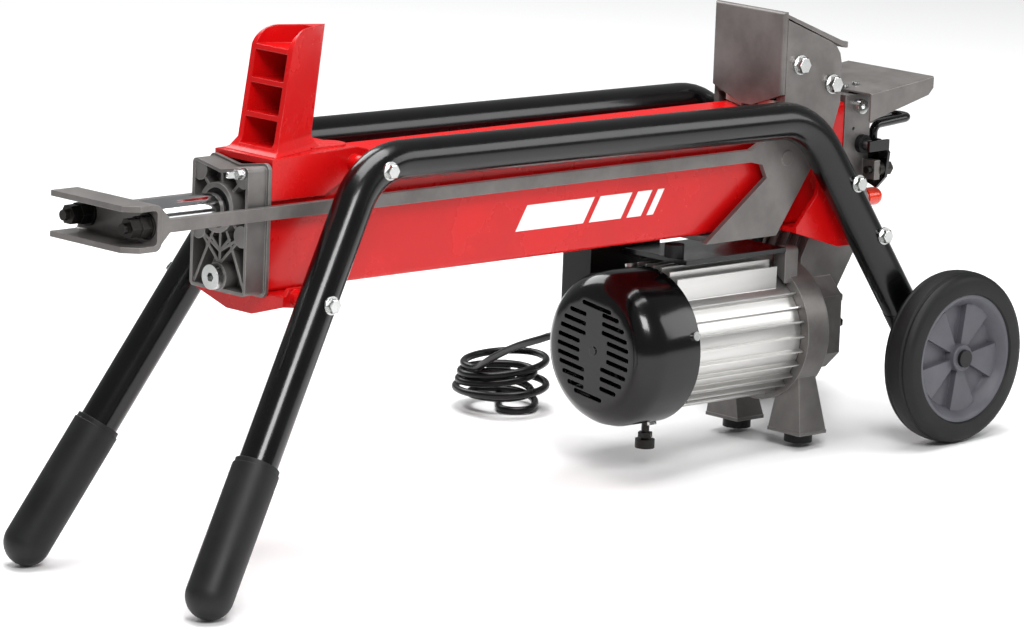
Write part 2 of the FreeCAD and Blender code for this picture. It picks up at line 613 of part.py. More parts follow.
def cowl_slot(y0, y1, z):
    """A slot with round ends through the cowl's face, tipped down to the near side."""
    middle = (y0 + y1) / 2
    a, b = y0 + SLOT_HALF, y1 - SLOT_HALF
    deep = (COWL_X0 - 5, COWL_X0 + 8)
    slot = fuse([box(deep[0], deep[1], a, b, z - SLOT_HALF, z + SLOT_HALF)]
                + [rod_x(deep[0], deep[1], y, z, SLOT_HALF) for y in (a, b)])
    slot.translate(V(0, 0, MOTOR_Z))
    slot.rotate(V(0, middle, MOTOR_Z + z), V(1, 0, 0), SLOT_SLANT)
    return slot


def fan_cowl():
    """Black cowl over the fan, with two columns of slanted slots in its face."""
    skin = revolve_x([(COWL_X0, 0.0), (COWL_X0, GRILL_R), (505.0, 66.0), (511.0, 72.0), (519.0, 76.5),
                      (529.0, COWL_R), (COWL_X1, COWL_R), (COWL_X1, COWL_R - 2.2), (529.0, COWL_R - 2.2),
                      (520.0, 74.0), (513.0, 70.0), (508.0, 64.0), (COWL_X0 + 3, GRILL_R - 2),
                      (COWL_X0 + 3, 0.0)])
    lugs = []
    for a in COWL_SCREWS:
        lug = box(COWL_X1 - 12.0, COWL_X1, -5, 5, MOTOR_Z + FIN_R + 0.3, MOTOR_Z + COWL_R - 1)
        lug.rotate(V(0, 0, MOTOR_Z), V(1, 0, 0), a)
        lugs.append(lug)
    dot = rod_x(COWL_X0 - 1.0, COWL_X0 + 1.0, 0, MOTOR_Z, 4.5)
    slots = [cowl_slot(-24.0, 18.0, 45.0), cowl_slot(-15.0, 25.0, -46.0)]
    for row in range(9):
        z = 37.0 - 9.3 * row
        outer = (51.0 ** 2 - z ** 2) ** 0.5
        inner = 19.0 if abs(z) < 12 else 11.0
        slots += [cowl_slot(inner, outer, z), cowl_slot(-outer, -inner, z)]
    return cut(fuse([skin, dot] + lugs), slots)


def pan_screws():
    """Pan-head screws: four in the cowl's rim, four in the hood."""
    made = []
    for a in COWL_SCREWS:
        head = rod(V(COWL_SCREW_X, 0, MOTOR_Z + COWL_R), V(COWL_SCREW_X, 0, MOTOR_Z + COWL_R + 3.0), 4.6)
        screw = head.fuse(rod(V(COWL_SCREW_X, 0, MOTOR_Z + FIN_R + 1.0), V(COWL_SCREW_X, 0, MOTOR_Z + COWL_R), 2.2))
        screw.rotate(V(0, 0, MOTOR_Z), V(1, 0, 0), a)
        made.append(screw)
    for x in (828.0, 844.0):
        for y in (-20.0, 20.0):
            z = hood_z(x)
            made.append(rod_z(x, y, z + 2.6, z + 5.0, 4.0).fuse(rod_z(x, y, 2.0, z + 2.6, 2.0)))
    return made


def screw_holes_cowl():
    tools = []
    for a in COWL_SCREWS:
        hole = rod(V(COWL_SCREW_X, 0, MOTOR_Z + FIN_R), V(COWL_SCREW_X, 0, MOTOR_Z + COWL_R + 5), 2.25)
        hole.rotate(V(0, 0, MOTOR_Z), V(1, 0, 0), a)
        tools.append(hole)
    return tools


FIN_FIRST, FIN_STEP, FIN_COUNT = 50.0, 13.0, 21
TOP_FINS = [(5.5, 80.0, 735.0), (16.5, 80.0, 735.0), (28.0, 77.0, 719.0), (39.0, 71.0, 719.0)]


def stator_housing():
    """Extruded aluminium motor body with cooling fins along it."""
    body = rod_x(540.0, BODY_X1, 0, MOTOR_Z, BODY_R)
    fins = []
    for k in range(FIN_COUNT):
        angle = FIN_FIRST + FIN_STEP * k
        fin = box(540.0, BODY_X1, -1.3, 1.3, MOTOR_Z + BODY_R - 1.5, MOTOR_Z + FIN_R)
        fin.rotate(V(0, 0, MOTOR_Z), V(1, 0, 0), angle)
        fins.append(fin)
    for y, height, x1 in TOP_FINS:
        for side in (-y, y):
            foot = (BODY_R ** 2 - y ** 2) ** 0.5 - 3.0
            fins.append(box(COWL_X1 + 2.0, x1, side - 1.3, side + 1.3, MOTOR_Z + foot, MOTOR_Z + height))
    return fuse([body] + fins).cut(rod_x(530.0, BODY_X1 + 10, 0, MOTOR_Z, 56.0))


def stator_core():
    core = rod_x(590.0, 690.0, 0, MOTOR_Z, 56.0)
    coils = rod_x(575.0, 705.0, 0, MOTOR_Z, 50.0)
    return core.fuse(coils).removeSplitter().cut(rod_x(560.0, 720.0, 0, MOTOR_Z, 32.5))


SHAFT_R = 7.5
GEAR_R, GEAR_X0, GEAR_X1 = 14.0, 787.0, 801.0
GEAR_GAP = 24.6


def motor_rotor():
    """Shaft, laminated core and the pump's driving gear, turning as one."""
    shaft = rod_x(507.0, 803.0, 0, MOTOR_Z, SHAFT_R)
    core = rod_x(592.0, 688.0, 0, MOTOR_Z, 32.0)
    return fuse([shaft, core, gear(0, MOTOR_Z, 0.0)])


def gear(y, z, phase):
    """Eight-toothed pump gear."""
    body = rod_x(GEAR_X0, GEAR_X1, y, z, 10.0)
    teeth = []
    for k in range(8):
        tooth = box(GEAR_X0, GEAR_X1, y - 1.9, y + 1.9, z + 8, z + GEAR_R)
        tooth.rotate(V(0, y, z), V(1, 0, 0), 45.0 * k + phase)
        teeth.append(tooth)
    return fuse([body] + teeth)


def pump_gear_driven():
    return gear(0, MOTOR_Z - GEAR_GAP, 22.5).fuse(rod_x(782.0, 806.0, 0, MOTOR_Z - GEAR_GAP, 5.0)).removeSplitter()


def cooling_fan():
    """Plastic fan behind the grill."""
    hub = rod_x(510.0, 530.0, 0, MOTOR_Z, 14.0)
    disc = rod_x(526.0, 529.0, 0, MOTOR_Z, 60.0)
    blades = []
    for k in range(8):
        blade = box(512.0, 527.0, -1.5, 1.5, MOTOR_Z + 12, MOTOR_Z + 60)
        blade.rotate(V(0, 0, MOTOR_Z), V(1, 0, 0), 45.0 * k)
        blades.append(blade)
    return fuse([hub, disc] + blades).cut(rod_x(500.0, 540.0, 0, MOTOR_Z, SHAFT_R))


def end_shield():
    """Front bearing shield behind the fan."""
    disc = rod_x(534.0, 540.0, 0, MOTOR_Z, 66.0)
    boss = rod_x(540.0, 552.0, 0, MOTOR_Z, 24.0)
    return fuse([disc, boss]).cut(rod_x(530.0, 560.0, 0, MOTOR_Z, 17.5))


def shaft_bearings():
    made = []
    for x0, x1 in ((540.0, 551.0), (752.0, 764.0)):
        made.append(rod_x(x0, x1, 0, MOTOR_Z, 17.5).cut(rod_x(x0 - 1, x1 + 1, 0, MOTOR_Z, SHAFT_R + 0.05)))
    return made


MOUNT_Z = -148.0                # underside of the plate over the motor


def motor_flange():
    """Die-cast rear flange of the motor, with two splayed legs and a lug up to the beam."""
    disc = rod_x(BODY_X1, FLANGE_X1, 0, MOTOR_Z, FLANGE_R)
    top = Part.makePolygon([V(x, y, -276.0) for x, y in
                            ((738.0, 34.0), (762.0, 34.0), (762.0, 60.0), (738.0, 60.0), (738.0, 34.0))])
    low = Part.makePolygon([V(x, y, -333.0) for x, y in
                            ((736.0, 22.0), (774.0, 22.0), (774.0, 67.0), (736.0, 67.0), (736.0, 22.0))])
    leg = Part.makeLoft([top, low], True, True)
    shoe = box(735.5, 774.5, 21.5, 67.5, -336.5, -333.0)
    lug = box(727.0, 745.0, -44.0, -28.0, -185.0, MOUNT_Z + 5.0)
    lug = round_upright(lug, 5.0, lambda e: along_x(e) and e.CenterOfMass.z > MOUNT_Z)
    body = fuse([disc, leg, mirror(leg), shoe, mirror(shoe), lug, mirror(lug)])
    return cut(body, [rod_x(720.0, 746.0, 0, MOTOR_Z, 56.0), rod_x(740.0, 770.0, 0, MOTOR_Z, 17.5),
                      rod_x(715.0, BODY_X1, 0, MOTOR_Z, FIN_R + 0.1)])


def pump_housing():
    """Die-cast gear pump body; its ribbed neck rises to the beam's rear end."""
    base = plate([V(FLANGE_X1, y, MOTOR_Z + z) for y, z in
                  ((-48, 34), (-30, 52), (30, 52), (48, 34), (48, -26), (30, -44), (-30, -44), (-48, -26))],
                 V(44.0, 0, 0))
    neck = side_plate([(768.0, -190.0), (812.0, -200.0), (846.0, -150.0), (846.0, -126.8), (786.0, -126.8),
                       (768.0, -160.0)], -26.0, 26.0)
    ribs = [side_plate([(766.0, -186.0), (815.0, -204.0), (849.0, -150.0), (849.0, -126.8), (782.0, -126.8),
                        (765.0, -160.0)], y - 1.8, y + 1.8) for y in (-28.0, -14.0, 0.0, 14.0, 28.0)]
    body = fuse([base, neck] + ribs)
    cavity = [rod_x(GEAR_X0 - 0.15, GEAR_X1 + 0.15, 0, z, GEAR_R + 0.3) for z in (MOTOR_Z, MOTOR_Z - GEAR_GAP)]
    bores = [rod_x(760.0, 806.0, 0, MOTOR_Z, SHAFT_R + 0.06),
             rod_x(781.9, 806.1, 0, MOTOR_Z - GEAR_GAP, 5.06)]
    return cut(body, cavity + bores)


PUMP_FACE_X = 809.0
PUMP_BOLTS = [(-38.0, 30.0), (-40.0, 4.0), (-34.0, -26.0), (38.0, 30.0), (34.0, -26.0)]


def pump_bolts():
    """Black hex bolts round the pump's rear face."""
    return [bolt(V(PUMP_FACE_X, y, MOTOR_Z + z), V(-1, 0, 0), 3.0, 20.0, 10.0, 6.0, 7.0, 1.5) for y, z in PUMP_BOLTS]


def pump_bolt_holes():
    return [rod_x(PUMP_FACE_X - 21.0, 820.0, y, MOTOR_Z + z, 3.0) for y, z in PUMP_BOLTS]


def motor_rubber_feet():
    return [rod_z(FOOT_X, y, FOOT_Z, -336.5, 14.5) for y in (-FOOT_Y, FOOT_Y)]


SCREW_FOOT_X = COWL_X1 + 6.0


def motor_screw_foot():
    """Threaded foot in a lug under the front end of the motor body."""
    x = SCREW_FOOT_X
    stem = rod_z(x, 0, -332.0, -303.0, 4.0)
    pad = rod_z(x, 0, -341.0, -332.0, 10.0)
    nut = hexagon(V(x, 0, -330.0), V(0, 0, 1), 13.0, 5.0)
    lug = box(x - 5.0, x + 6.0, -8, 8, -316.0, -302.6)
    return fuse([stem, pad, nut, lug])


def motor_mount_plate():
    """Flat plate over the motor body, hung from the flange's lugs, with a rib between the top fins."""
    top = box(584.0, 726.9, -44.0, 44.0, MOUNT_Z, MOUNT_Z + 5.0)
    rib = box(620.0, 715.0, -3.9, 3.9, MOTOR_Z + BODY_R + 0.2, MOUNT_Z)
    return fuse([top, rib])


def rubber_buffer():
    """Rubber puck on the mount plate, just clear of the keeper that passes under the beam."""
    return rod_z(590.0, -20.0, MOUNT_Z + 5.0, -130.0, 10.0)


SWITCH_X0, SWITCH_X1, SWITCH_Y0, SWITCH_Y1, SWITCH_Z0, SWITCH_Z1 = 552.0, 650.0, 60.0, 104.0, -262.0, -134.0


def switch_box():
    """Black switch and capacitor box on the motor's far side."""
    body = box(SWITCH_X0, SWITCH_X1, SWITCH_Y0, SWITCH_Y1, SWITCH_Z0, SWITCH_Z1)
    body = body.makeFillet(6.0, [e for e in body.Edges if e.CenterOfMass.y > SWITCH_Y1 - 1])
    arm = box(594.0, 630.0, 30.0, SWITCH_Y0 + 1, MOUNT_Z - 5.0, MOUNT_Z - 0.2)
    cowl_gap = rod_x(500, COWL_X1 + 1.0, 0, MOTOR_Z, COWL_R + 4.0)
    return cut(fuse([body, arm]), [cowl_gap, rod_x(500, 700, 0, MOTOR_Z, FIN_R + 0.2)])


# ---------------------------------------------------------------- rear controls
def valve_block():
    """Cast block that closes the beam's rear end and holds the valve spool."""
    body = box(BLOCK_X0, BLOCK_X1, -37.0, 37.0, -120.5, 6.0)
    body = round_upright(body, 7.0, lambda e: along_y(e) and e.CenterOfMass.x > BLOCK_X1 - 1)
    bosses = [rod_x(BLOCK_X1, BLOCK_X1 + 4.0, LEVER_Y + 20, LEVER_Z, 9.0),
              rod_x(BLOCK_X1 - 8, BLOCK_X1 + 3.0, BUTTON_Y, BUTTON_Z, 12.0)]
    arm = box(BLOCK_X1 - 8.0, BLOCK_X1, LEVER_Y - 6, -36.0, LEVER_Z - 10, LEVER_Z + 10)
    body = fuse([body, arm] + bosses)
    return cut(body, [rod_y(SPOOL_X, -60, 10, SPOOL_Z, SPOOL_R + 0.05),
                      rod_y(SPOOL_X, 6, 30, SPOOL_Z, 8.0),
                      rod_x(BLOCK_X1 - 12, BLOCK_X1 + 10, BUTTON_Y, BUTTON_Z, 7.6),
                      rod_y(826.0, -45, -20, -30.0, 2.0),
                      rod_x(BLOCK_X1 - 14, BLOCK_X1 + 2, LEVER_Y, LEVER_Z, 4.0),
                      rod_y(829.0, -45, -27, -6.0, 4.0)])


def block_screw():
    """Button-head screw with a spacer on the block's near side."""
    head = rod_y(829.0, -46.5, -42.0, -6.0, 7.5).cut(hexagon(V(829.0, -47, -6.0), V(0, 1, 0), 5.0, 3.0))
    return fuse([head, rod_y(829.0, -42.0, -37.0, -6.0, 6.0), rod_y(829.0, -42.0, -28.0, -6.0, 4.0)])


def spool_boot():
    """Rubber bellows round the spool where it leaves the block."""
    body = rod_y(SPOOL_X, -43.0, -37.0, SPOOL_Z, 9.5)
    return body.cut(rod_y(SPOOL_X, -60, 0, SPOOL_Z, SPOOL_R + 0.4))


def valve_spool():
    return fuse([rod_y(SPOOL_X, -51.5, 8.0, SPOOL_Z, SPOOL_R), rod_y(SPOOL_X, 8.0, 11.0, SPOOL_Z, 6.5)])


def spool_spring():
    """Return spring behind the spool, as the tube that its coil fills."""
    return rod_y(SPOOL_X, 11.05, 29.9, SPOOL_Z, 7.0).cut(rod_y(SPOOL_X, 10, 31, SPOOL_Z, 5.0))


def control_lever():
    """Bent lever plate that bears on the spool, carrying a round-rod loop handle."""
    web = plate([V(LEVER_X, y, z) for y, z in
                 ((-22.0, -42.0), (-44.0, -42.0), (-58.0, -54.0), (-55.0, -80.0), (-43.0, -93.0), (-18.0, -85.0))],
                V(3.5, 0, 0))
    tab = box(LEVER_X - 26.0, LEVER_X + 3.5, -56.0, -52.5, -52.0, -41.0)
    loop = bent_path([V(LEVER_X + 2, -34.0, -52.0), V(LEVER_X + 2, -34.0, -29.0), V(LEVER_X + 56, -34.0, -25.0),
                      V(LEVER_X + 56, -12.0, -25.0), V(LEVER_X + 14, -12.0, -28.0)], 9.0)
    handle = sweep(loop, 4.5)
    return cut(fuse([web, tab, handle]), [rod_x(840.0, 900.0, LEVER_Y, LEVER_Z, 4.3)])


def lever_pivot():
    """Pivot bolt of the lever, with its lock nut."""
    return fuse([rod_x(BLOCK_X1 - 14, 872.0, LEVER_Y, LEVER_Z, 4.0),
                 rod_x(BLOCK_X1, LEVER_X - 0.3, LEVER_Y, LEVER_Z, 7.5),
                 hexagon(V(LEVER_X + 3.8, LEVER_Y, LEVER_Z), V(1, 0, 0), 13.0, 8.0)])


def start_button():
    """Long domed motor button on the block's rear face."""
    stem = rod_x(BLOCK_X1 - 7.0, BLOCK_X1 + 9.0, BUTTON_Y, BUTTON_Z, 7.5)
    head = rod_x(BLOCK_X1 + 8.0, BLOCK_X1 + 22.0, BUTTON_Y, BUTTON_Z, BUTTON_R)
    dome = Part.makeSphere(BUTTON_R, V(BLOCK_X1 + 22.0, BUTTON_Y, BUTTON_Z))
    return fuse([stem, head, dome])


HOOD_X0, HOOD_X1, HOOD_HALF, HOOD_RISE = 824.0, 917.0, 61.5, 0.118


def hood_z(x):
    return 8.0 + HOOD_RISE * (x - HOOD_X0)


def guard_hood():
    """Sheet guard over the controls, with a flange down each side."""
    z0, z1 = hood_z(HOOD_X0), hood_z(HOOD_X1)
    top = side_plate([(HOOD_X0, z0), (HOOD_X1, z1), (HOOD_X1, z1 + 2.0), (HOOD_X0, z0 + 2.0)],
                     -HOOD_HALF, HOOD_HALF)
    flange = side_plate([(HOOD_X0, z0 + 2.0), (HOOD_X1, z1 + 2.0), (HOOD_X1, z1 - 10.0), (HOOD_X1 - 7, z1 - 17.0),
                         (HOOD_X0, z0 - 27.0)], HOOD_HALF - 2.0, HOOD_HALF)
    stand = side_plate([(824.5, 6.0), (850.0, 6.0), (850.0, hood_z(850.0)), (824.5, hood_z(824.5))], -28.0, 28.0)
    sheet = fuse([top, flange, mirror(flange)])
    sheet = round_upright(sheet, 1.9, lambda e: e.Length > 80 and abs(e.CenterOfMass.y) > HOOD_HALF - 0.1
                          and e.CenterOfMass.z > 10)
    body = fuse([sheet, stand])
    return cut(body, [rod_z(x, y, 0.0, 30.0, 2.0) for x in (828.0, 844.0) for y in (-20.0, 20.0)])


def block_top_holes():
    return [rod_z(x, y, 0.0, 30.0, 2.0) for x in (828.0, 844.0) for y in (-20.0, 20.0)]


# ---------------------------------------------------------------- power cord
# Given in the finished frame: the cord leaves the gland on the switch box,
# droops behind the motor and runs into a loose bundle on the floor.
GLAND = V(174.0, 104.0, 112.0)
GLAND_LENGTH = 20.0
BUNDLE = V(232.0, 288.0, 0.0)
BUNDLE_R, BUNDLE_HOLE, BUNDLE_H = 54.0, 14.0, 54.0
BUNDLE_AWAY = V(0.688, 0.725, 0.0).normalize()      # the way the plug lies from the bundle
CORD_ROUTE = [V(174.0, 124.0, 112.0), V(174.0, 142.0, 112.0), V(173.0, 162.0, 103.5), V(176.0, 186.0, 95.0),
              V(182.0, 212.0, 85.0), V(188.0, 240.0, 72.0), V(192.0, 263.0, 60.0), V(199.0, 285.0, 47.0)]


def cord_arcs(points):
    """Tangent arcs, each as large as its two runs allow."""
    edges = []
    radii = []
    start = points[0]
    for before, corner, after in zip(points, points[1:], points[2:]):
        u = (before - corner).normalize()
        w = (after - corner).normalize()
        half = u.getAngle(w) / 2
        reach = 0.45 * min((before - corner).Length, (after - corner).Length)
        radius = reach * tan(half)
        radii.append(radius)
        mid_dir = (u + w).normalize()
        middle = corner + mid_dir * (radius / sin(half) - radius)
        a, b = corner + u * reach, corner + w * reach
        edges.append(Part.LineSegment(start, a).toShape())
        edges.append(Part.Arc(a, middle, b).toShape())
        start = b
    edges.append(Part.LineSegment(start, points[-1]).toShape())
    return Part.Wire(edges), radii


def cord_bundle():
    """Outer shape of the loose bundle of cord: a low rounded ring."""
    r0, r1, h = BUNDLE_HOLE, BUNDLE_R, BUNDLE_H
    outline = [(r0, 4.0), (r0 + 6, 0.0), (r1 - 14, 0.0), (r1 - 3, 5.0), (r1, 15.0), (r1 - 2, 28.0), (r1 - 12, 43.0),
               (r1 - 22, h), (r0 + 10, h), (r0 + 2, h - 10), (r0, h - 22)]
    points = [BUNDLE + V(r, 0, z) for r, z in outline]
    face = Part.Face(Part.makePolygon(points + [points[0]]))
    return face.revolve(BUNDLE, V(0, 0, 1), 360)


def power_plug():
    """Moulded plug lying on the floor behind the bundle, with its pins."""
    neck = rod_x(BUNDLE_R - 1.0, 72.0, 0.0, 12.0, 6.5)
    body = box(70.0, 114.0, -13.0, 13.0, 0.0, 24.0)
    body = body.makeFillet(6.0, [e for e in body.Edges if along_x(e)])
    pins = [box(112.0, 131.0, y - 0.75, y + 0.75, 12.5, 19.0) for y in (-6.35, 6.35)]
    earth = rod_x(112.0, 134.0, 0.0, 4.0, 2.4)
    plug = fuse([body, neck, earth] + pins)
    plug.rotate(V(0, 0, 0), V(0, 0, 1), degrees(atan2(BUNDLE_AWAY.y, BUNDLE_AWAY.x)))
    plug.translate(BUNDLE)
    return plug.cut(cord_bundle())


def cord_gland():
    """Tapered rubber strain relief on the switch box; the cord comes out of its small end."""
    return Part.makeCone(8.5, 5.5, GLAND_LENGTH, GLAND, V(0, 1, 0))


# ---------------------------------------------------------------- build
def main():
    save_beam("beam_tank", beam_tank())
    save_beam("front_end_cap", cut(front_end_cap(), [stick_hole()]))
    save_beam("cap_seals", [cap_gasket(), rod_wiper_seal()])
    save_beam("drain_plug", drain_plug())
    save_beam("bleed_screw", bleed_screw())
    save_beam("cylinder_barrel", cylinder_barrel())
    save_beam("piston_rod", fuse([piston_rod(), rod_flange()]))
    save_beam("piston", piston())
    save_beam("piston_seals", piston_seals())
    save_beam("cross_head", cross_head())
    save_beam("crosshead_bolts", crosshead_bolts())
    bar = tie_bar()
    save_beam("tie_bar_far", bar)
    save_beam("tie_bar_near", mirror(bar))
    save_beam("pusher_plate", pusher_plate())
    save_beam("pusher_block", pusher_block())
    save_beam("pusher_bolts", pusher_bolts())
    save_beam("pusher_keeper", pusher_keeper())
    save_beam("wear_pads", wear_pads())
    save_beam("wedge", wedge())
    tube, tube_full = frame_tube()
    full_pair = [tube_full, mirror(tube_full)]
    shanks = [rod_y(x, y - 2 * TUBE_R - 4, y + 5, z, 4.0) for x, z, y in tube_bolts()]
    both = shanks + [mirror(s) for s in shanks]
    tube = cut(tube, shanks)
    bolts = [b.cut(tube) for b in frame_bolts()]
    save_beam("frame_tube_far", tube)
    save_beam("frame_tube_near", mirror(tube))
    save_beam("frame_bolts", bolts + [mirror(b) for b in bolts])
    save_beam("front_saddle", cut(fuse(front_saddle()), full_pair + both + [wedge()]))
    save_beam("front_leg_bracket", cut(fuse(front_leg_bracket()), full_pair + both))
    save_beam("rear_leg_bracket", cut(fuse(rear_leg_bracket()), full_pair + both))
    grip = foot_grip()
    save_beam("foot_grips", [grip, mirror(grip)])
    tyre, rim = wheel_tyre(), wheel_rim()
    save_beam("wheel_tyre_far", tyre)
    save_beam("wheel_tyre_near", mirror(tyre))
    save_beam("wheel_rim_far", rim)
    save_beam("wheel_rim_near", mirror(rim))
    save_beam("wheel_axles", wheel_axles())
    save_beam("hub_caps", hub_caps())
    save_beam("fan_cowl", cut(fan_cowl(), screw_holes_cowl()))
    save_beam("small_screws", pan_screws() + [block_screw()])
    save_beam("stator_housing", stator_housing())
    save_beam("stator_core", stator_core())
    save_beam("end_shield", end_shield())
    save_beam("shaft_bearings", shaft_bearings())
    save_beam("motor_rotor", motor_rotor())
    save_beam("cooling_fan", cooling_fan())
    save_beam("pump_gear_driven", pump_gear_driven())
    save_beam("motor_flange", motor_flange())
    save_beam("pump_housing", cut(pump_housing(), pump_bolt_holes()))
    save_beam("pump_bolts", pump_bolts())
    save_beam("motor_rubber_feet", motor_rubber_feet() + [rubber_buffer()])
    save_beam("motor_screw_foot", motor_screw_foot())
    save_beam("motor_mount_plate", motor_mount_plate())
    save_beam("switch_box", switch_box())
    save_beam("valve_block", cut(valve_block(), block_top_holes()))
    save_beam("spool_boot", spool_boot())
    save_beam("valve_spool", valve_spool())
    save_beam("spool_spring", spool_spring())
    save_beam("control_lever", control_lever())
    save_beam("lever_pivot", lever_pivot())
    save_beam("start_button", start_button())
    save_beam("guard_hood", guard_hood())
    path, radii = cord_arcs(CORD_ROUTE)
    cord = sweep(path, CORD_R).cut(cord_bundle())
    print("cord arc radii", [round(r, 1) for r in radii], "length", round(path.Length, 1))
    save("power_cord", cord)
    save("cord_gland", cord_gland())
    save("cord_bundle", cord_bundle())
    save("power_plug", power_plug())


main()
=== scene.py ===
import json
from math import atan2, cos, pi, radians, sin, sqrt

import bmesh
import bpy
from mathutils import Matrix, Vector

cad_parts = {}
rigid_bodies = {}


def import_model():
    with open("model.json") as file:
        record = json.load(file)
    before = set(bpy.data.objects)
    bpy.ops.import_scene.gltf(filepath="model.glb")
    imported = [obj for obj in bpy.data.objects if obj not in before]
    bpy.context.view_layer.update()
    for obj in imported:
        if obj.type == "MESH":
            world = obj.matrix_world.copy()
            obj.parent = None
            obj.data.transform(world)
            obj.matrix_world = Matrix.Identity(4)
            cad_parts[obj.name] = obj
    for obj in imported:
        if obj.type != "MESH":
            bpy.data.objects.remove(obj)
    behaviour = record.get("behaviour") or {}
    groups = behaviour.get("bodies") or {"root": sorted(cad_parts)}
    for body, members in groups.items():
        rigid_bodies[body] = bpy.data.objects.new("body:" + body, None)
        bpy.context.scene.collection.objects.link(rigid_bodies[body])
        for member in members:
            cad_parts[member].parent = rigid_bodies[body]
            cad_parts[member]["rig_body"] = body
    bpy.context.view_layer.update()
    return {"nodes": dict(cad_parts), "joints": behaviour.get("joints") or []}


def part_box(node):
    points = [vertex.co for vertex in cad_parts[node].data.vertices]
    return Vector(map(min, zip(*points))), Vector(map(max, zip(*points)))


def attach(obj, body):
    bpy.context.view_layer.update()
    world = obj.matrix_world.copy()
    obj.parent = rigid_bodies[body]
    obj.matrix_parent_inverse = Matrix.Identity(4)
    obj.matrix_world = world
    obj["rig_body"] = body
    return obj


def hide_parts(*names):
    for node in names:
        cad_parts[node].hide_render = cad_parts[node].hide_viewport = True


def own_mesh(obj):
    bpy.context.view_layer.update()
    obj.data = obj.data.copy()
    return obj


bl_info = {
    "name": "Log splitter",
    "version": (1, 0, 0),
    "blender": (4, 5, 0),
    "location": "3D View > Sidebar > Splitter",
    "description": "Dresses the frame of an electric log splitter with its pieces and finishes",
    "category": "Object",
}

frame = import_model()
NODES = frame["nodes"]

# The beam slopes, so its pieces are drawn on the beam's own axes in millimetres:
# X from the wedge to the wheels, Y to the far side, Z square to the beam, with
# the origin at the top middle of the front cap.  The slope is read off the ram's
# slide, and the place off the near wheel's hinge.
JOINTS = {j["name"]: j for j in frame["joints"]}
RAM_AXIS = Vector(JOINTS["ram_slide"]["axis"])
TILT = Matrix.Rotation(atan2(RAM_AXIS.z, -RAM_AXIS.x), 4, "Y")
WHEEL_X, WHEEL_Y, WHEEL_Z = 883.0, 138.0, -256.0
WHEEL_AT = Vector(JOINTS["near_wheel_spin"]["pos_m"])
BEAM_START = WHEEL_AT - TILT @ (Vector((WHEEL_X, -WHEEL_Y, WHEEL_Z)) / 1000)
BEAM = Matrix.Translation(BEAM_START) @ TILT @ Matrix.Scale(0.001, 4)
MOTOR_Z = -233.4
SHARP_DEGREES = 32.0        # an edge that turns more than this is shaded sharp


# ---------------------------------------------------------------- colours and nodes
def linear(hex_colour):
    """An sRGB hex colour as linear red, green, blue, alpha."""
    values = [int(hex_colour[i:i + 2], 16) / 255 for i in (1, 3, 5)]
    return tuple(v / 12.92 if v <= 0.04045 else ((v + 0.055) / 1.055) ** 2.4 for v in values) + (1.0,)


def add(tree, kind, settings=None, **links):
    """Add a node; settings are its properties, links its sockets' values or sources.

    A socket is named with _ for a space, or i0, i1 and so on by its number.
    """
    made = tree.nodes.new(kind)
    for key, value in (settings or {}).items():
        setattr(made, key, value)
    for key, value in links.items():
        numbered = key[0] == "i" and key[1:].isdigit()
        socket = made.inputs[int(key[1:]) if numbered else key.replace("_", " ")]
        if isinstance(value, bpy.types.NodeSocket):
            tree.links.new(value, socket)
        else:
            socket.default_value = value
    return made


MATERIALS = {}
PATCHES_PER_METRE = 18.0        # colour and gloss drift in patches about 55 mm across
DARK_UNTIL, LIGHT_FROM = 0.38, 0.66
WORN_FROM, WORN_FULL = 0.995, 0.93      # how far the rounded normal leans from the flat one
DULL_SHEEN, METAL_SHEEN = 0.3, 0.5
COAT_ROUGHNESS = 0.08


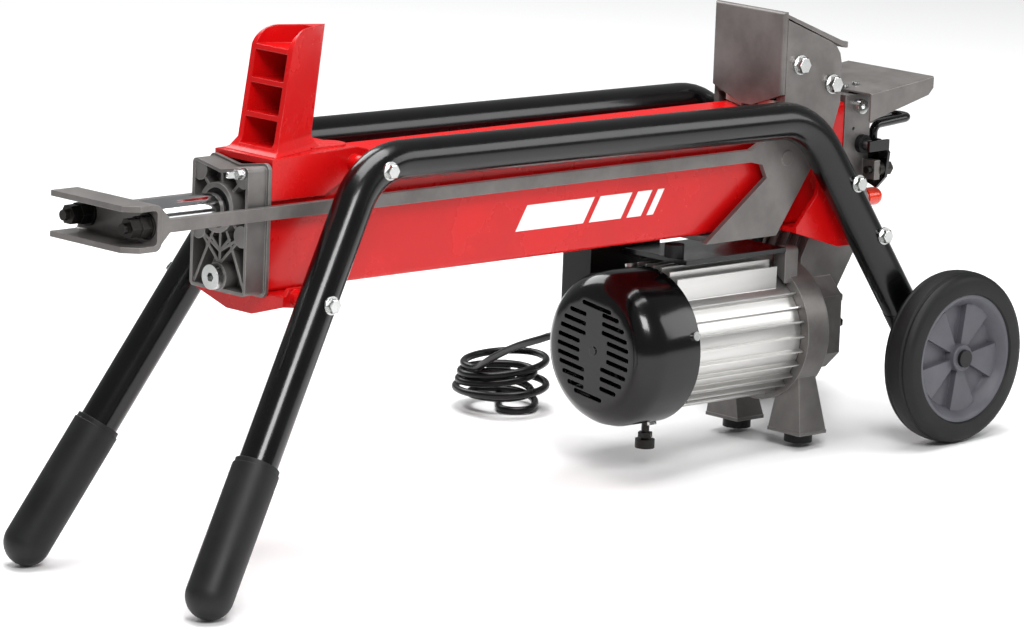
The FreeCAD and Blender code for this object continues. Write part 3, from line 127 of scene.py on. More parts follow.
def surface(name, colour, dark, metallic=0.0, roughness=0.5, spread=0.06, grain=1.0, bump=0.1, coat=0.0,
            stretch=(1, 1, 1), edge=None, edge_size=0.6, transmission=0.0):
    """One finish: colour drifts to dark, roughness drifts by spread, and a grain in mm gives the bump.

    stretch makes the grain long along an axis, as brushing and extrusion do.  edge is a
    worn colour along sharp edges, and edge_size, in mm, is how round an edge looks.
    The real grains are finer than a millimetre: they are drawn about 1 mm wide, or 3 mm
    for the dimples of powder coat, as coarse as they need to be to show.
    """
    mat = bpy.data.materials.new(name)
    mat.use_nodes = True
    tree = mat.node_tree
    shader = tree.nodes["Principled BSDF"]
    coords = add(tree, "ShaderNodeTexCoord")
    place = add(tree, "ShaderNodeMapping", i0=coords.outputs["Object"], Scale=stretch)
    cloud = add(tree, "ShaderNodeTexNoise", Vector=place.outputs[0], Scale=PATCHES_PER_METRE, Detail=5.0,
                Roughness=0.6)
    fine = add(tree, "ShaderNodeTexNoise", Vector=place.outputs[0], Scale=1000.0 / grain, Detail=4.0,
               Roughness=0.6)
    tone = add(tree, "ShaderNodeValToRGB", i0=cloud.outputs[0])
    for stop, position, shade in zip(tone.color_ramp.elements, (DARK_UNTIL, LIGHT_FROM), (dark, colour)):
        stop.position = position
        stop.color = linear(shade)
    base = tone.outputs[0]
    rounded = add(tree, "ShaderNodeBevel", {"samples": 4}, Radius=edge_size / 1000)
    if edge:
        flat = add(tree, "ShaderNodeNewGeometry")
        lean = add(tree, "ShaderNodeVectorMath", {"operation": "DOT_PRODUCT"},
                   i0=flat.outputs["Normal"], i1=rounded.outputs[0])
        worn = add(tree, "ShaderNodeMapRange", i0=lean.outputs["Value"], i1=WORN_FROM, i2=WORN_FULL,
                   i3=0.0, i4=1.0)
        broken = add(tree, "ShaderNodeMath", {"operation": "MULTIPLY"}, i0=worn.outputs[0],
                     i1=fine.outputs[0])
        mixed = add(tree, "ShaderNodeMix", {"data_type": "RGBA"}, i0=broken.outputs[0], i6=base,
                    i7=linear(edge))
        base = mixed.outputs[2]
    rough = add(tree, "ShaderNodeMapRange", i0=cloud.outputs[0], i1=0.3, i2=0.7, i3=roughness - spread,
                i4=roughness + spread)
    dents = add(tree, "ShaderNodeBump", Strength=bump, Distance=grain / 4000, Height=fine.outputs[0],
                Normal=rounded.outputs[0])
    tree.links.new(base, shader.inputs["Base Color"])
    tree.links.new(rough.outputs[0], shader.inputs["Roughness"])
    tree.links.new(dents.outputs[0], shader.inputs["Normal"])
    shader.inputs["Metallic"].default_value = metallic
    shader.inputs["Coat Weight"].default_value = coat
    shader.inputs["Coat Roughness"].default_value = COAT_ROUGHNESS
    shader.inputs["Transmission Weight"].default_value = transmission
    # Paint, rubber and plastic show less sheen than a clean dielectric; metal keeps the usual level.
    shader.inputs["Specular IOR Level"].default_value = METAL_SHEEN if metallic else DULL_SHEEN
    MATERIALS[name] = mat


def make_materials(look):
    """Every finish of the object."""
    # Powder coat baked on steel: thick and glossy, faintly dimpled like orange peel, soft over every edge.
    surface("red_powder_coat", look.red, "#BA090B", roughness=0.27, spread=0.02, grain=3.0, bump=0.08,
            coat=0.06, edge_size=1.4)
    surface("black_powder_coat", look.black, "#040405", roughness=0.2, spread=0.04, grain=3.0, bump=0.08,
            coat=0.2, edge_size=1.0)
    # Stoving enamel with a little metal flake, sprayed on sheet steel: satin, rubbed light along the edges.
    surface("grey_enamel_steel", look.grey, "#5E5A58", metallic=0.35, roughness=0.38, spread=0.05, grain=1.4,
            bump=0.06, coat=0.1, edge="#9A9794", edge_size=1.0)
    # Pressure die casting: dull grey skin with a fine sandy grain, edges rounded by the draft of the mould.
    surface("die_cast_aluminium", "#7E7B79", "#676462", metallic=0.7, roughness=0.46, spread=0.07, grain=1.1,
            bump=0.3, edge="#A9A7A4", edge_size=1.3)
    # Extruded aluminium: bright, with long die lines along the motor.
    surface("extruded_aluminium", "#DCDBD9", "#BDBCBA", metallic=0.9, roughness=0.34, spread=0.07, grain=0.8,
            bump=0.15, stretch=(0.05, 1, 1))
    # Zinc plating on forged bolts: bright and slightly cloudy.
    surface("zinc_plated_steel", "#D2D3D2", "#B0B2B0", metallic=1.0, roughness=0.25, spread=0.08, grain=0.9,
            bump=0.05, edge_size=0.4)
    # Black oxide, a hot chemical finish: dark brown-black, steel showing through on the corners.
    surface("black_oxide_steel", "#2E2B29", "#1E1C1B", metallic=0.7, roughness=0.42, spread=0.08, grain=0.9,
            bump=0.12, edge="#5A5856", edge_size=0.4)
    # Hard chrome, ground and polished: a near mirror with hardly any drift.
    surface("hard_chrome_rod", "#E2E4E5", "#D2D5D6", metallic=1.0, roughness=0.1, spread=0.03, grain=0.7,
            bump=0.02, stretch=(1, 0.2, 0.2))
    # Turned steel, bare and oiled: grey, with fine tool marks.
    surface("turned_steel", "#A8A9AA", "#8C8D8E", metallic=1.0, roughness=0.32, spread=0.06, grain=0.8,
            bump=0.06, stretch=(1, 0.2, 0.2))
    # ABS from a polished mould: deep black gloss.
    surface("gloss_black_moulding", "#060607", "#040405", roughness=0.16, spread=0.04, grain=3.0, bump=0.04,
            coat=0.2, edge_size=1.0)
    # ABS from a spark-eroded mould: even, dull and finely pitted.
    surface("matte_black_moulding", "#141415", "#0F0F10", roughness=0.5, spread=0.06, grain=0.9, bump=0.22)
    # Nylon from a spark-eroded mould: dull slate grey.
    surface("grey_nylon_moulding", "#58585E", "#4C4C52", roughness=0.46, spread=0.06, grain=0.9, bump=0.18,
            edge_size=1.0)
    # Natural nylon, sawn from sheet: milky and waxy.
    surface("white_nylon", "#DAD8D0", "#C8C6BE", roughness=0.5, spread=0.06, grain=1.2, bump=0.1)
    # Vulcanised rubber, moulded: near black, with no gloss.
    surface("vulcanised_rubber", "#0F0F10", "#0A0A0B", roughness=0.55, spread=0.08, grain=1.2, bump=0.3,
            edge_size=1.0)
    # Dipped grip rubber: black with a soft, slightly rough skin.
    surface("soft_grip_rubber", "#151516", "#0F0F10", roughness=0.5, spread=0.07, grain=1.0, bump=0.35,
            edge_size=1.0)
    # PVC, extruded round the wires: smooth black with a low shine.
    surface("pvc_cord_sheath", "#0B0B0C", "#070708", roughness=0.3, spread=0.06, grain=0.8, bump=0.08)
    # Clear polycarbonate dyed red: light goes a little way in.
    surface("red_clear_plastic", "#FF3A0C", "#D81E04", roughness=0.14, spread=0.03, grain=2.0, bump=0.03,
            coat=0.4, transmission=0.25)
    # Self-adhesive vinyl film, printed white: flat and satin.
    surface("white_vinyl", "#F2F2F0", "#E6E6E4", roughness=0.35, spread=0.04, grain=1.5, bump=0.04)


# ---------------------------------------------------------------- mesh helpers
def new_piece(name, mesh, material, body, replaced=()):
    """Finish a piece: link it, give it its finish, and let it ride on its body."""
    piece = bpy.data.objects.new(name, mesh)
    bpy.context.scene.collection.objects.link(piece)
    mesh.materials.clear()
    mesh.materials.append(MATERIALS[material])
    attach(piece, body)
    if replaced:
        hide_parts(*replaced)
    return piece


def smooth_by_angle(mesh):
    """Smooth shading everywhere but over sharp edges."""
    work = bmesh.new()
    work.from_mesh(mesh)
    for face in work.faces:
        face.smooth = True
    for edge in work.edges:
        sharp = len(edge.link_faces) == 2 and edge.calc_face_angle(0.0) > radians(SHARP_DEGREES)
        edge.smooth = not sharp
    work.to_mesh(mesh)
    work.free()


def drop_custom_normals(mesh):
    if "custom_normal" in mesh.attributes:
        mesh.attributes.remove(mesh.attributes["custom_normal"])


def cad_mesh(node):
    """A merged copy of a CAD node's mesh, shaded smooth between its sharp edges."""
    mesh = NODES[node].data.copy()
    mesh.name = node + "_skin"
    work = bmesh.new()
    work.from_mesh(mesh)
    bmesh.ops.remove_doubles(work, verts=work.verts, dist=2e-6)
    work.to_mesh(mesh)
    work.free()
    drop_custom_normals(mesh)
    smooth_by_angle(mesh)
    return mesh


def evaluated(obj, name):
    """The object with its modifiers applied, as a new mesh; the object itself is removed."""
    graph = bpy.context.evaluated_depsgraph_get()
    mesh = bpy.data.meshes.new_from_object(obj.evaluated_get(graph), depsgraph=graph)
    mesh.name = name
    drop_custom_normals(mesh)
    bpy.data.objects.remove(obj)
    return mesh


def skin(node, material):
    """A CAD node's own shape, merged and smoothly shaded, in its real finish."""
    return new_piece(node + "_skin", cad_mesh(node), material, NODES[node]["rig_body"], [node])


def mesh_of(name, build, move=BEAM):
    """A mesh from a function that fills a bmesh, moved from the beam's axes to the frame."""
    work = bmesh.new()
    build(work)
    bmesh.ops.remove_doubles(work, verts=work.verts, dist=1e-4)
    bmesh.ops.recalc_face_normals(work, faces=work.faces)
    bmesh.ops.transform(work, matrix=move, verts=work.verts)
    mesh = bpy.data.meshes.new(name)
    work.to_mesh(mesh)
    work.free()
    smooth_by_angle(mesh)
    return mesh


# ---------------------------------------------------------------- repeated shapes, in Geometry Nodes
def new_tree(name, inputs):
    """A Geometry Nodes tree with named inputs: (name, socket type, default)."""
    tree = bpy.data.node_groups.new(name, "GeometryNodeTree")
    tree.is_modifier = True
    tree.interface.new_socket("Geometry", in_out="INPUT", socket_type="NodeSocketGeometry")
    tree.interface.new_socket("Geometry", in_out="OUTPUT", socket_type="NodeSocketGeometry")
    for label, kind, value in inputs:
        socket = tree.interface.new_socket(label, in_out="INPUT", socket_type=kind)
        socket.default_value = value
    return tree, add(tree, "NodeGroupInput"), add(tree, "NodeGroupOutput")


def close_tree(tree, outlet, instances, material):
    """End a tree: realize the instances and set the material."""
    real = add(tree, "GeometryNodeRealizeInstances", Geometry=instances)
    dressed = add(tree, "GeometryNodeSetMaterial", Geometry=real.outputs[0], Material=material)
    tree.links.new(dressed.outputs[0], outlet.inputs[0])


def repeat_round(name, material):
    """The modified mesh, repeated Count times round Axis, from First, Step radians apart."""
    tree, given, outlet = new_tree(name, [
        ("Count", "NodeSocketInt", 8),
        ("Step", "NodeSocketFloat", 0.5),
        ("First", "NodeSocketFloat", 0.0),
        ("Axis", "NodeSocketVector", (1.0, 0.0, 0.0)),
    ])
    line = add(tree, "GeometryNodeMeshLine", Count=given.outputs["Count"], Offset=(0.0, 0.0, 0.0))
    index = add(tree, "GeometryNodeInputIndex")
    angle = add(tree, "ShaderNodeMath", {"operation": "MULTIPLY_ADD"}, i0=index.outputs[0],
                i1=given.outputs["Step"], i2=given.outputs["First"])
    turn = add(tree, "FunctionNodeAxisAngleToRotation", Axis=given.outputs["Axis"], Angle=angle.outputs[0])
    placed = add(tree, "GeometryNodeInstanceOnPoints", Points=line.outputs[0],
                 Instance=given.outputs["Geometry"], Rotation=turn.outputs[0])
    close_tree(tree, outlet, placed.outputs[0], material)
    return tree


CHAMFER_SHARE = 0.18        # share of a bolt head's height that is chamfered


def bolts_on_points(name, material):
    """A hex bolt on every vertex, pointing along its "axis": washer, chamfered head and shank."""
    tree, given, outlet = new_tree(name, [
        ("Across", "NodeSocketFloat", 13.0),
        ("Head", "NodeSocketFloat", 5.5),
        ("Washer Radius", "NodeSocketFloat", 9.0),
        ("Washer", "NodeSocketFloat", 1.8),
        ("Shank Radius", "NodeSocketFloat", 4.0),
        ("Shank", "NodeSocketFloat", 30.0),
    ])

    def value(operation, first, second):
        return add(tree, "ShaderNodeMath", {"operation": operation}, i0=first, i1=second).outputs[0]

    def raised(mesh, height):
        up = add(tree, "ShaderNodeCombineXYZ", Z=height)
        return add(tree, "GeometryNodeTransform", Geometry=mesh, Translation=up.outputs[0]).outputs[0]

    corner = value("DIVIDE", given.outputs["Across"], sqrt(3))
    washer_mid = value("MULTIPLY", given.outputs["Washer"], 0.5)
    plain = value("MULTIPLY", given.outputs["Head"], 1.0 - CHAMFER_SHARE)
    bevel = value("MULTIPLY", given.outputs["Head"], CHAMFER_SHARE)
    washer = add(tree, "GeometryNodeMeshCylinder", Vertices=48, Radius=given.outputs["Washer Radius"],
                 Depth=given.outputs["Washer"])
    flats = add(tree, "GeometryNodeMeshCylinder", Vertices=6, Radius=corner, Depth=plain)
    crown = add(tree, "GeometryNodeMeshCone", Vertices=6, Radius_Bottom=corner,
                Radius_Top=value("MULTIPLY", corner, 0.85), Depth=bevel)
    shank = add(tree, "GeometryNodeMeshCylinder", Vertices=32, Radius=given.outputs["Shank Radius"],
                Depth=given.outputs["Shank"])
    flats_mid = value("ADD", given.outputs["Washer"], value("MULTIPLY", plain, 0.5))
    bolt = add(tree, "GeometryNodeJoinGeometry")
    for piece in (raised(washer.outputs[0], washer_mid),
                  raised(flats.outputs[0], flats_mid),
                  raised(crown.outputs[0], value("ADD", given.outputs["Washer"], plain)),
                  raised(shank.outputs[0], value("MULTIPLY", given.outputs["Shank"], -0.5))):
        tree.links.new(piece, bolt.inputs[0])
    axis = add(tree, "GeometryNodeInputNamedAttribute", {"data_type": "FLOAT_VECTOR"}, Name="axis")
    turn = add(tree, "FunctionNodeAlignRotationToVector", {"axis": "Z"}, Vector=axis.outputs[0])
    placed = add(tree, "GeometryNodeInstanceOnPoints", Points=given.outputs["Geometry"],
                 Instance=bolt.outputs[0], Rotation=turn.outputs[0])
    close_tree(tree, outlet, placed.outputs[0], material)
    return tree


def coil_spring(name, material):
    """A wire wound into an open coil along Z."""
    tree, given, outlet = new_tree(name, [
        ("Turns", "NodeSocketFloat", 6.0),
        ("Radius", "NodeSocketFloat", 6.3),
        ("Length", "NodeSocketFloat", 17.6),
        ("Wire", "NodeSocketFloat", 0.6),
    ])
    spiral = add(tree, "GeometryNodeCurveSpiral", Resolution=32, Rotations=given.outputs["Turns"],
                 Start_Radius=given.outputs["Radius"], End_Radius=given.outputs["Radius"],
                 Height=given.outputs["Length"])
    ring = add(tree, "GeometryNodeCurvePrimitiveCircle", Resolution=12, Radius=given.outputs["Wire"])
    wire = add(tree, "GeometryNodeCurveToMesh", Curve=spiral.outputs[0], Profile_Curve=ring.outputs[0],
               Fill_Caps=True)
    close_tree(tree, outlet, wire.outputs[0], material)
    return tree


def grow(name, mesh, tree, values, move=BEAM):
    """Run a tree over a mesh drawn in millimetres and return the finished mesh in the frame."""
    seed = bpy.data.objects.new(name + "_seed", mesh)
    bpy.context.scene.collection.objects.link(seed)
    modifier = seed.modifiers.new(name, "NODES")
    modifier.node_group = tree
    for item in tree.interface.items_tree:
        if item.in_out == "INPUT" and item.name in values:
            modifier[item.identifier] = values[item.name]
    made = evaluated(seed, name)
    made.transform(move)
    work = bmesh.new()
    work.from_mesh(made)
    bmesh.ops.remove_doubles(work, verts=work.verts, dist=1e-7)
    bmesh.ops.recalc_face_normals(work, faces=work.faces)
    work.to_mesh(made)
    work.free()
    smooth_by_angle(made)
    return made


def raw_mesh(name, build):
    """A mesh in millimetres on the beam's axes, as a tree's starting shape."""
    work = bmesh.new()
    build(work)
    mesh = bpy.data.meshes.new(name)
    work.to_mesh(mesh)
    work.free()
    return mesh


def block(work, x0, x1, y0, y1, z0, z1):
    """A box in a bmesh."""
    middle = Matrix.Translation(((x0 + x1) / 2, (y0 + y1) / 2, (z0 + z1) / 2))
    bmesh.ops.create_cube(work, size=1.0, matrix=middle @ Matrix.Diagonal((x1 - x0, y1 - y0, z1 - z0, 1.0)))


def turned(work, profile, axis, steps=96):
    """A ring-shaped solid: a closed (along the axis, radius) outline turned about X or Y."""
    rings = []
    for k in range(steps):
        angle = 2 * pi * k / steps
        ring = []
        for along, radius in profile:
            out, up = radius * sin(angle), radius * cos(angle)
            ring.append(work.verts.new((along, out, up) if axis == "X" else (out, along, up)))
        rings.append(ring)
    for k in range(steps):
        near, far = rings[k], rings[(k + 1) % steps]
        for i in range(len(profile)):
            j = (i + 1) % len(profile)
            work.faces.new((near[i], near[j], far[j], far[i]))
    bmesh.ops.recalc_face_normals(work, faces=work.faces)


def joined(name, meshes):
    """Several meshes as one."""
    work = bmesh.new()
    for mesh in meshes:
        work.from_mesh(mesh)
    whole = bpy.data.meshes.new(name)
    work.to_mesh(whole)
    work.free()
    smooth_by_angle(whole)
    return whole


# ---------------------------------------------------------------- settings
class SplitterLook(bpy.types.PropertyGroup):
    """Colours of the main finishes."""

    red: bpy.props.StringProperty(name="Red", description="Powder coat of beam and wedge, sRGB hex",
                                  default="#C60B0D")
    grey: bpy.props.StringProperty(name="Grey", description="Enamel of pusher and pull bars, sRGB hex",
                                   default="#74706E")
    black: bpy.props.StringProperty(name="Black", description="Powder coat of the frame tubes, sRGB hex",
                                    default="#060607")


class SplitterSizes(bpy.types.PropertyGroup):
    """Sizes and counts of the pieces that are drawn here."""

    fin_count: bpy.props.IntProperty(name="Motor fins", description="Radial fins round the motor body",
                                     default=21)
    fin_step: bpy.props.FloatProperty(name="Fin step", description="Angle between two fins",
                                      default=radians(13.0), unit="ROTATION", subtype="ANGLE")
    blade_count: bpy.props.IntProperty(name="Fan blades", description="Blades of the cooling fan", default=8)
    spoke_count: bpy.props.IntProperty(name="Spokes", description="Spokes of each wheel", default=5)
    cord_width: bpy.props.FloatProperty(name="Cord", description="Diameter of the power cord", default=0.0078,
                                        unit="LENGTH", subtype="DISTANCE")


# ---------------------------------------------------------------- cord
# The route from the gland to the bundle, in metres: the same points as the CAD's.
CORD_ROUTE = [(0.174, 0.124, 0.112), (0.174, 0.142, 0.112), (0.173, 0.162, 0.1035), (0.176, 0.186, 0.095),
              (0.182, 0.212, 0.085), (0.188, 0.240, 0.072), (0.192, 0.263, 0.060), (0.199, 0.285, 0.047)]
BUNDLE = Vector((0.232, 0.288, 0.0))            # middle of the bundle on the floor
TURNS, TURN_RISE, STEPS_PER_TURN = 4.75, 0.00805, 16
FIRST_RADIUS, TURN_RADIUS, LAST_RADIUS, EXIT_RADIUS = 0.033, 0.040, 0.031, 0.043
NARROWING = 3.9                                 # the turn at which the loops draw in to the last radius
CROSSING = 4.37                                 # where the tail runs out under the lowest turn
CROSSING_HEIGHT, FLOOR_HEIGHT = 0.0122, 0.0041  # middle of the cord over the tail, and on the floor
TAIL_TURN = Vector((0.0035, -0.024, 0.0))       # middle of the last small bend, from the bundle's
TAIL_RADIUS, TAIL_STEPS, TAIL_FIRST, TAIL_SWEEP = 0.019, 6, -80.0, 143.5
PLUG_ANGLE = atan2(0.725, 0.688)
# Reach from the bundle's middle and height: along the floor, then up into the plug.
PLUG_RUN = ((0.0, FLOOR_HEIGHT), (0.014, FLOOR_HEIGHT), (0.030, FLOOR_HEIGHT),
            (0.040, 0.0058), (0.050, 0.0093), (0.060, 0.0117), (0.07, 0.012))


def turn_point(turn):
    """A point of the loose turns, counted from the top of the bundle: they differ in size and shift about."""
    angle = pi - 2 * pi * turn
    opening = min(1.0, turn / 0.5)
    closing = max(0.0, min(1.0, (turn - NARROWING) / 0.45))
    wander = opening * (1 - closing)
    radius = FIRST_RADIUS + (TURN_RADIUS - FIRST_RADIUS) * opening
    radius += wander * (0.009 * sin(2 * pi * 0.41 * turn + 0.6) + 0.006 * cos(2 * angle + turn))
    if turn > NARROWING:
        radius += (LAST_RADIUS - radius) * closing
    leaving = (turn - CROSSING) / (TURNS - CROSSING)
    if turn < CROSSING:
        tilt = 0.006 * (1 - turn / CROSSING) * (1 + cos(angle)) / 2
        height = CROSSING_HEIGHT + TURN_RISE * (CROSSING - turn) + tilt
    else:
        radius += (EXIT_RADIUS - radius) * min(1.0, leaving)
        height = CROSSING_HEIGHT - (CROSSING_HEIGHT - FLOOR_HEIGHT) * leaving * leaving * (3 - 2 * leaving)
    shift_x = wander * 0.006 * sin(2 * pi * 0.29 * turn)
    shift_y = wander * 0.006 * sin(2 * pi * 0.23 * turn + 1.0)
    return BUNDLE.x + shift_x + radius * cos(angle), BUNDLE.y + shift_y + radius * sin(angle), height


def bundle_points():
    """The loose bundle: turns from the top down, then the tail out along the floor and into the plug."""
    points = [turn_point(k / STEPS_PER_TURN) for k in range(1, int(TURNS * STEPS_PER_TURN))]
    for k in range(TAIL_STEPS + 1):
        angle = radians(TAIL_FIRST - TAIL_SWEEP * k / TAIL_STEPS)
        points.append((BUNDLE.x + TAIL_TURN.x + TAIL_RADIUS * cos(angle),
                       BUNDLE.y + TAIL_TURN.y + TAIL_RADIUS * sin(angle), FLOOR_HEIGHT))
    away = Vector((cos(PLUG_ANGLE), sin(PLUG_ANGLE), 0.0))
    for reach, height in PLUG_RUN:
        points.append(tuple(BUNDLE + away * reach + Vector((0.0, 0.0, height))))
    return points


class SPLITTER_OT_cord(bpy.types.Operator):
    """Power cord: from the gland down to a loose bundle on the floor, and its plug"""

    bl_idname = "splitter.cord"
    bl_label = "Power cord"

    def execute(self, context):
        size = context.scene.splitter_sizes
        curve = bpy.data.curves.new("power_cord_line", "CURVE")
        curve.dimensions = "3D"
        line = curve.splines.new("NURBS")
        points = list(CORD_ROUTE) + bundle_points()
        line.points.add(len(points) - 1)
        for point, place in zip(line.points, points):
            point.co = (*place, 1.0)
        line.order_u = 3
        line.use_endpoint_u = True
        line.resolution_u = 4
        curve.bevel_depth = size.cord_width / 2
        curve.bevel_resolution = 4
        curve.use_fill_caps = True
        cord = bpy.data.objects.new("power_cord_sheath", curve)
        bpy.context.scene.collection.objects.link(cord)
        curve.materials.append(MATERIALS["pvc_cord_sheath"])
        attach(cord, "frame")
        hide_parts("power_cord", "cord_bundle")
        plug = skin("power_plug", "matte_black_moulding")
        skin("cord_gland", "vulcanised_rubber")
        return {"FINISHED"}


# ---------------------------------------------------------------- pieces that keep the CAD's shape
FINISH = {
    "red_powder_coat": ("beam_tank", "wedge", "front_saddle", "front_leg_bracket", "rear_leg_bracket"),
    "die_cast_aluminium": ("front_end_cap", "motor_flange", "pump_housing", "valve_block", "end_shield"),
    "grey_enamel_steel": (
        "cross_head", "tie_bar_far", "tie_bar_near", "pusher_plate", "pusher_block", "pusher_keeper",
        "guard_hood",
    ),
    "black_powder_coat": ("frame_tube_far", "frame_tube_near", "motor_mount_plate", "control_lever"),
    "turned_steel": (
        "stator_core", "piston", "cylinder_barrel", "wheel_axles", "shaft_bearings", "motor_rotor",
        "pump_gear_driven", "valve_spool",
    ),
    "hard_chrome_rod": ("piston_rod",),
    "zinc_plated_steel": ("drain_plug", "bleed_screw", "small_screws"),
    "black_oxide_steel": ("crosshead_bolts", "lever_pivot", "motor_screw_foot"),
    "gloss_black_moulding": ("fan_cowl",),
    "matte_black_moulding": ("switch_box", "hub_caps"),
    "white_nylon": ("wear_pads",),
    "vulcanised_rubber": (
        "wheel_tyre_far", "wheel_tyre_near", "motor_rubber_feet", "cap_seals", "piston_seals",
        "spool_boot",
    ),
    "soft_grip_rubber": ("foot_grips",),
    "red_clear_plastic": ("start_button",),
}


class SPLITTER_OT_skins(bpy.types.Operator):
    """Pieces whose machined shape is already right, in their real finishes"""

    bl_idname = "splitter.skins"
    bl_label = "Machined pieces"

    def execute(self, context):
        for material, nodes in FINISH.items():
            for node in nodes:
                skin(node, material)
        return {"FINISHED"}


# ---------------------------------------------------------------- bolts, fins, blades, spokes, spring
def both_sides(seats):
    """Seats on the far side and their mirrored seats on the near side, with the way their heads point."""
    return [(x, y, z, 1.0) for x, y, z in seats] + [(x, -y, z, -1.0) for x, y, z in seats]


# Where the bolts sit, in millimetres on the beam's axes: frame and pusher on the far
# side, and the pump's from the motor's axis.
FRAME_SEATS = both_sides([(131.8, 91.35, -5.6), (44.8, 111.18, -122.5), (772.0, 97.28, -73.0),
                          (809.0, 102.24, -129.5)])
PUSHER_SEATS = both_sides([(728.3, 50.0, 45.4), (776.7, 50.0, 22.2)])
PUMP_FACE_X = 809.0
PUMP_SEATS = [(PUMP_FACE_X, y, MOTOR_Z + z)
              for y, z in ((-38.0, 30.0), (-40.0, 4.0), (-34.0, -26.0), (38.0, 30.0), (34.0, -26.0))]
FRAME_BOLT = {"Across": 13.0, "Head": 5.5, "Washer Radius": 9.0, "Washer": 1.8,
              "Shank Radius": 3.9, "Shank": 40.0}
PUSHER_BOLT = {"Across": 16.0, "Head": 6.5, "Washer Radius": 10.0, "Washer": 2.0,
               "Shank Radius": 4.9, "Shank": 11.4}
PUMP_BOLT = {"Across": 10.0, "Head": 6.0, "Washer Radius": 7.0, "Washer": 1.5,
             "Shank Radius": 2.9, "Shank": 19.9}


def seat_points(name, seats, axes):
    """Vertices at the bolts' seats, each with the way its head points."""
    mesh = bpy.data.meshes.new(name)
    mesh.from_pydata([seat[:3] for seat in seats], [], [])
    flat = [part for axis in axes for part in axis]
    mesh.attributes.new("axis", "FLOAT_VECTOR", "POINT").data.foreach_set("vector", flat)
    return mesh


class SPLITTER_OT_bolts(bpy.types.Operator):
    """Hex bolts of the frame, the pusher and the pump"""

    bl_idname = "splitter.bolts"
    bl_label = "Hex bolts"

    def execute(self, context):
        zinc = bolts_on_points("side_bolts", MATERIALS["zinc_plated_steel"])
        for node, seats, values in (("frame_bolts", FRAME_SEATS, FRAME_BOLT),
                                    ("pusher_bolts", PUSHER_SEATS, PUSHER_BOLT)):
            points = seat_points(node, seats, [(0.0, seat[3], 0.0) for seat in seats])
            mesh = grow(node + "_set", points, zinc, values)
            new_piece(node + "_set", mesh, "zinc_plated_steel", NODES[node]["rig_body"], [node])
        dark = bolts_on_points("pump_face_bolts", MATERIALS["black_oxide_steel"])
        points = seat_points("pump_bolts", PUMP_SEATS, [(1.0, 0.0, 0.0)] * len(PUMP_SEATS))
        mesh = grow("pump_bolts_set", points, dark, PUMP_BOLT)
        new_piece("pump_bolts_set", mesh, "black_oxide_steel", "frame", ["pump_bolts"])
        return {"FINISHED"}


MOTOR_AXIS = BEAM @ Matrix.Translation((0.0, 0.0, MOTOR_Z))
BODY_X0, BODY_X1, BODY_R, BORE_R = 540.0, 735.0, 63.0, 56.0
BODY_CHAMFER = 0.6
FIN_HALF, FIN_FOOT, FIN_TIP, FIRST_FIN = 1.3, 61.5, 69.0, 50.0
TOP_FIN_X0 = 576.0
# Each pair of top fins: how far from the middle, how high, and where it ends.
TOP_FINS = ((5.5, 80.0, 735.0), (16.5, 80.0, 735.0), (28.0, 77.0, 719.0), (39.0, 71.0, 719.0))


class SPLITTER_OT_motor_body(bpy.types.Operator):
    """Extruded motor body with its cooling fins, and the fan in front of it"""

    bl_idname = "splitter.motor_body"
    bl_label = "Motor body and fan"

    def execute(self, context):
        size = context.scene.splitter_sizes
        silver, plastic = MATERIALS["extruded_aluminium"], MATERIALS["matte_black_moulding"]

        def one_fin(work):
            block(work, BODY_X0 + 0.2, BODY_X1 - 0.2, -FIN_HALF, FIN_HALF, FIN_FOOT, FIN_TIP)
            # Slightly thinner at the tip, as the die leaves it.
            for vert in work.verts:
                if vert.co.z > (FIN_FOOT + FIN_TIP) / 2:
                    vert.co.y *= 0.7

        def barrel(work):
            edge = BODY_R - BODY_CHAMFER
            turned(work, [(BODY_X0, BORE_R), (BODY_X0, edge), (BODY_X0 + BODY_CHAMFER, BODY_R),
                          (BODY_X1 - BODY_CHAMFER, BODY_R), (BODY_X1, edge), (BODY_X1, BORE_R)], "X", 128)

        def top_fins(work):
            for y, height, x1 in TOP_FINS:
                foot = sqrt(BODY_R ** 2 - y * y) - 3.0
                for side in (-y, y):
                    block(work, TOP_FIN_X0, x1, side - FIN_HALF, side + FIN_HALF, foot, height)

        fins = grow("motor_fins", raw_mesh("motor_fin", one_fin), repeat_round("fins_round_motor", silver),
                    {"Count": size.fin_count, "Step": size.fin_step, "First": radians(FIRST_FIN)}, MOTOR_AXIS)
        body = joined("motor_body", [fins, mesh_of("motor_barrel", barrel, MOTOR_AXIS),
                                     mesh_of("motor_top_fins", top_fins, MOTOR_AXIS)])
        new_piece("motor_body", body, "extruded_aluminium", "frame",
                  ["stator_housing"])

        def one_blade(work):
            block(work, 512.0, 526.4, -1.5, 1.5, 12.0, 59.6)

        def hub_and_disc(work):
            turned(work, [(510.0, 7.5), (510.0, 13.0), (511.0, 14.0), (526.0, 14.0), (526.2, 60.0),
                          (529.0, 60.0), (529.0, 14.0), (530.0, 14.0), (530.0, 7.5)], "X")

        blades = grow("fan_blades", raw_mesh("fan_blade", one_blade),
                      repeat_round("blades_round_hub", plastic),
                      {"Count": size.blade_count, "Step": 2 * pi / size.blade_count}, MOTOR_AXIS)
        fan = joined("cooling_fan_wheel", [blades, mesh_of("fan_hub", hub_and_disc, MOTOR_AXIS)])
        new_piece("cooling_fan_wheel", fan, "matte_black_moulding", "rotor",
                  ["cooling_fan"])
        return {"FINISHED"}


RIM_R, AXLE_R, HUB_R, FIRST_SPOKE = 66.0, 6.08, 14.0, 63.0
SPOKE_OUTLINE = ((11.0, 4.0), (52.5, 18.0), (56.0, 6.0), (56.0, -6.0), (52.5, -18.0), (11.0, -4.0))
SPOKE_HALF = 8.9


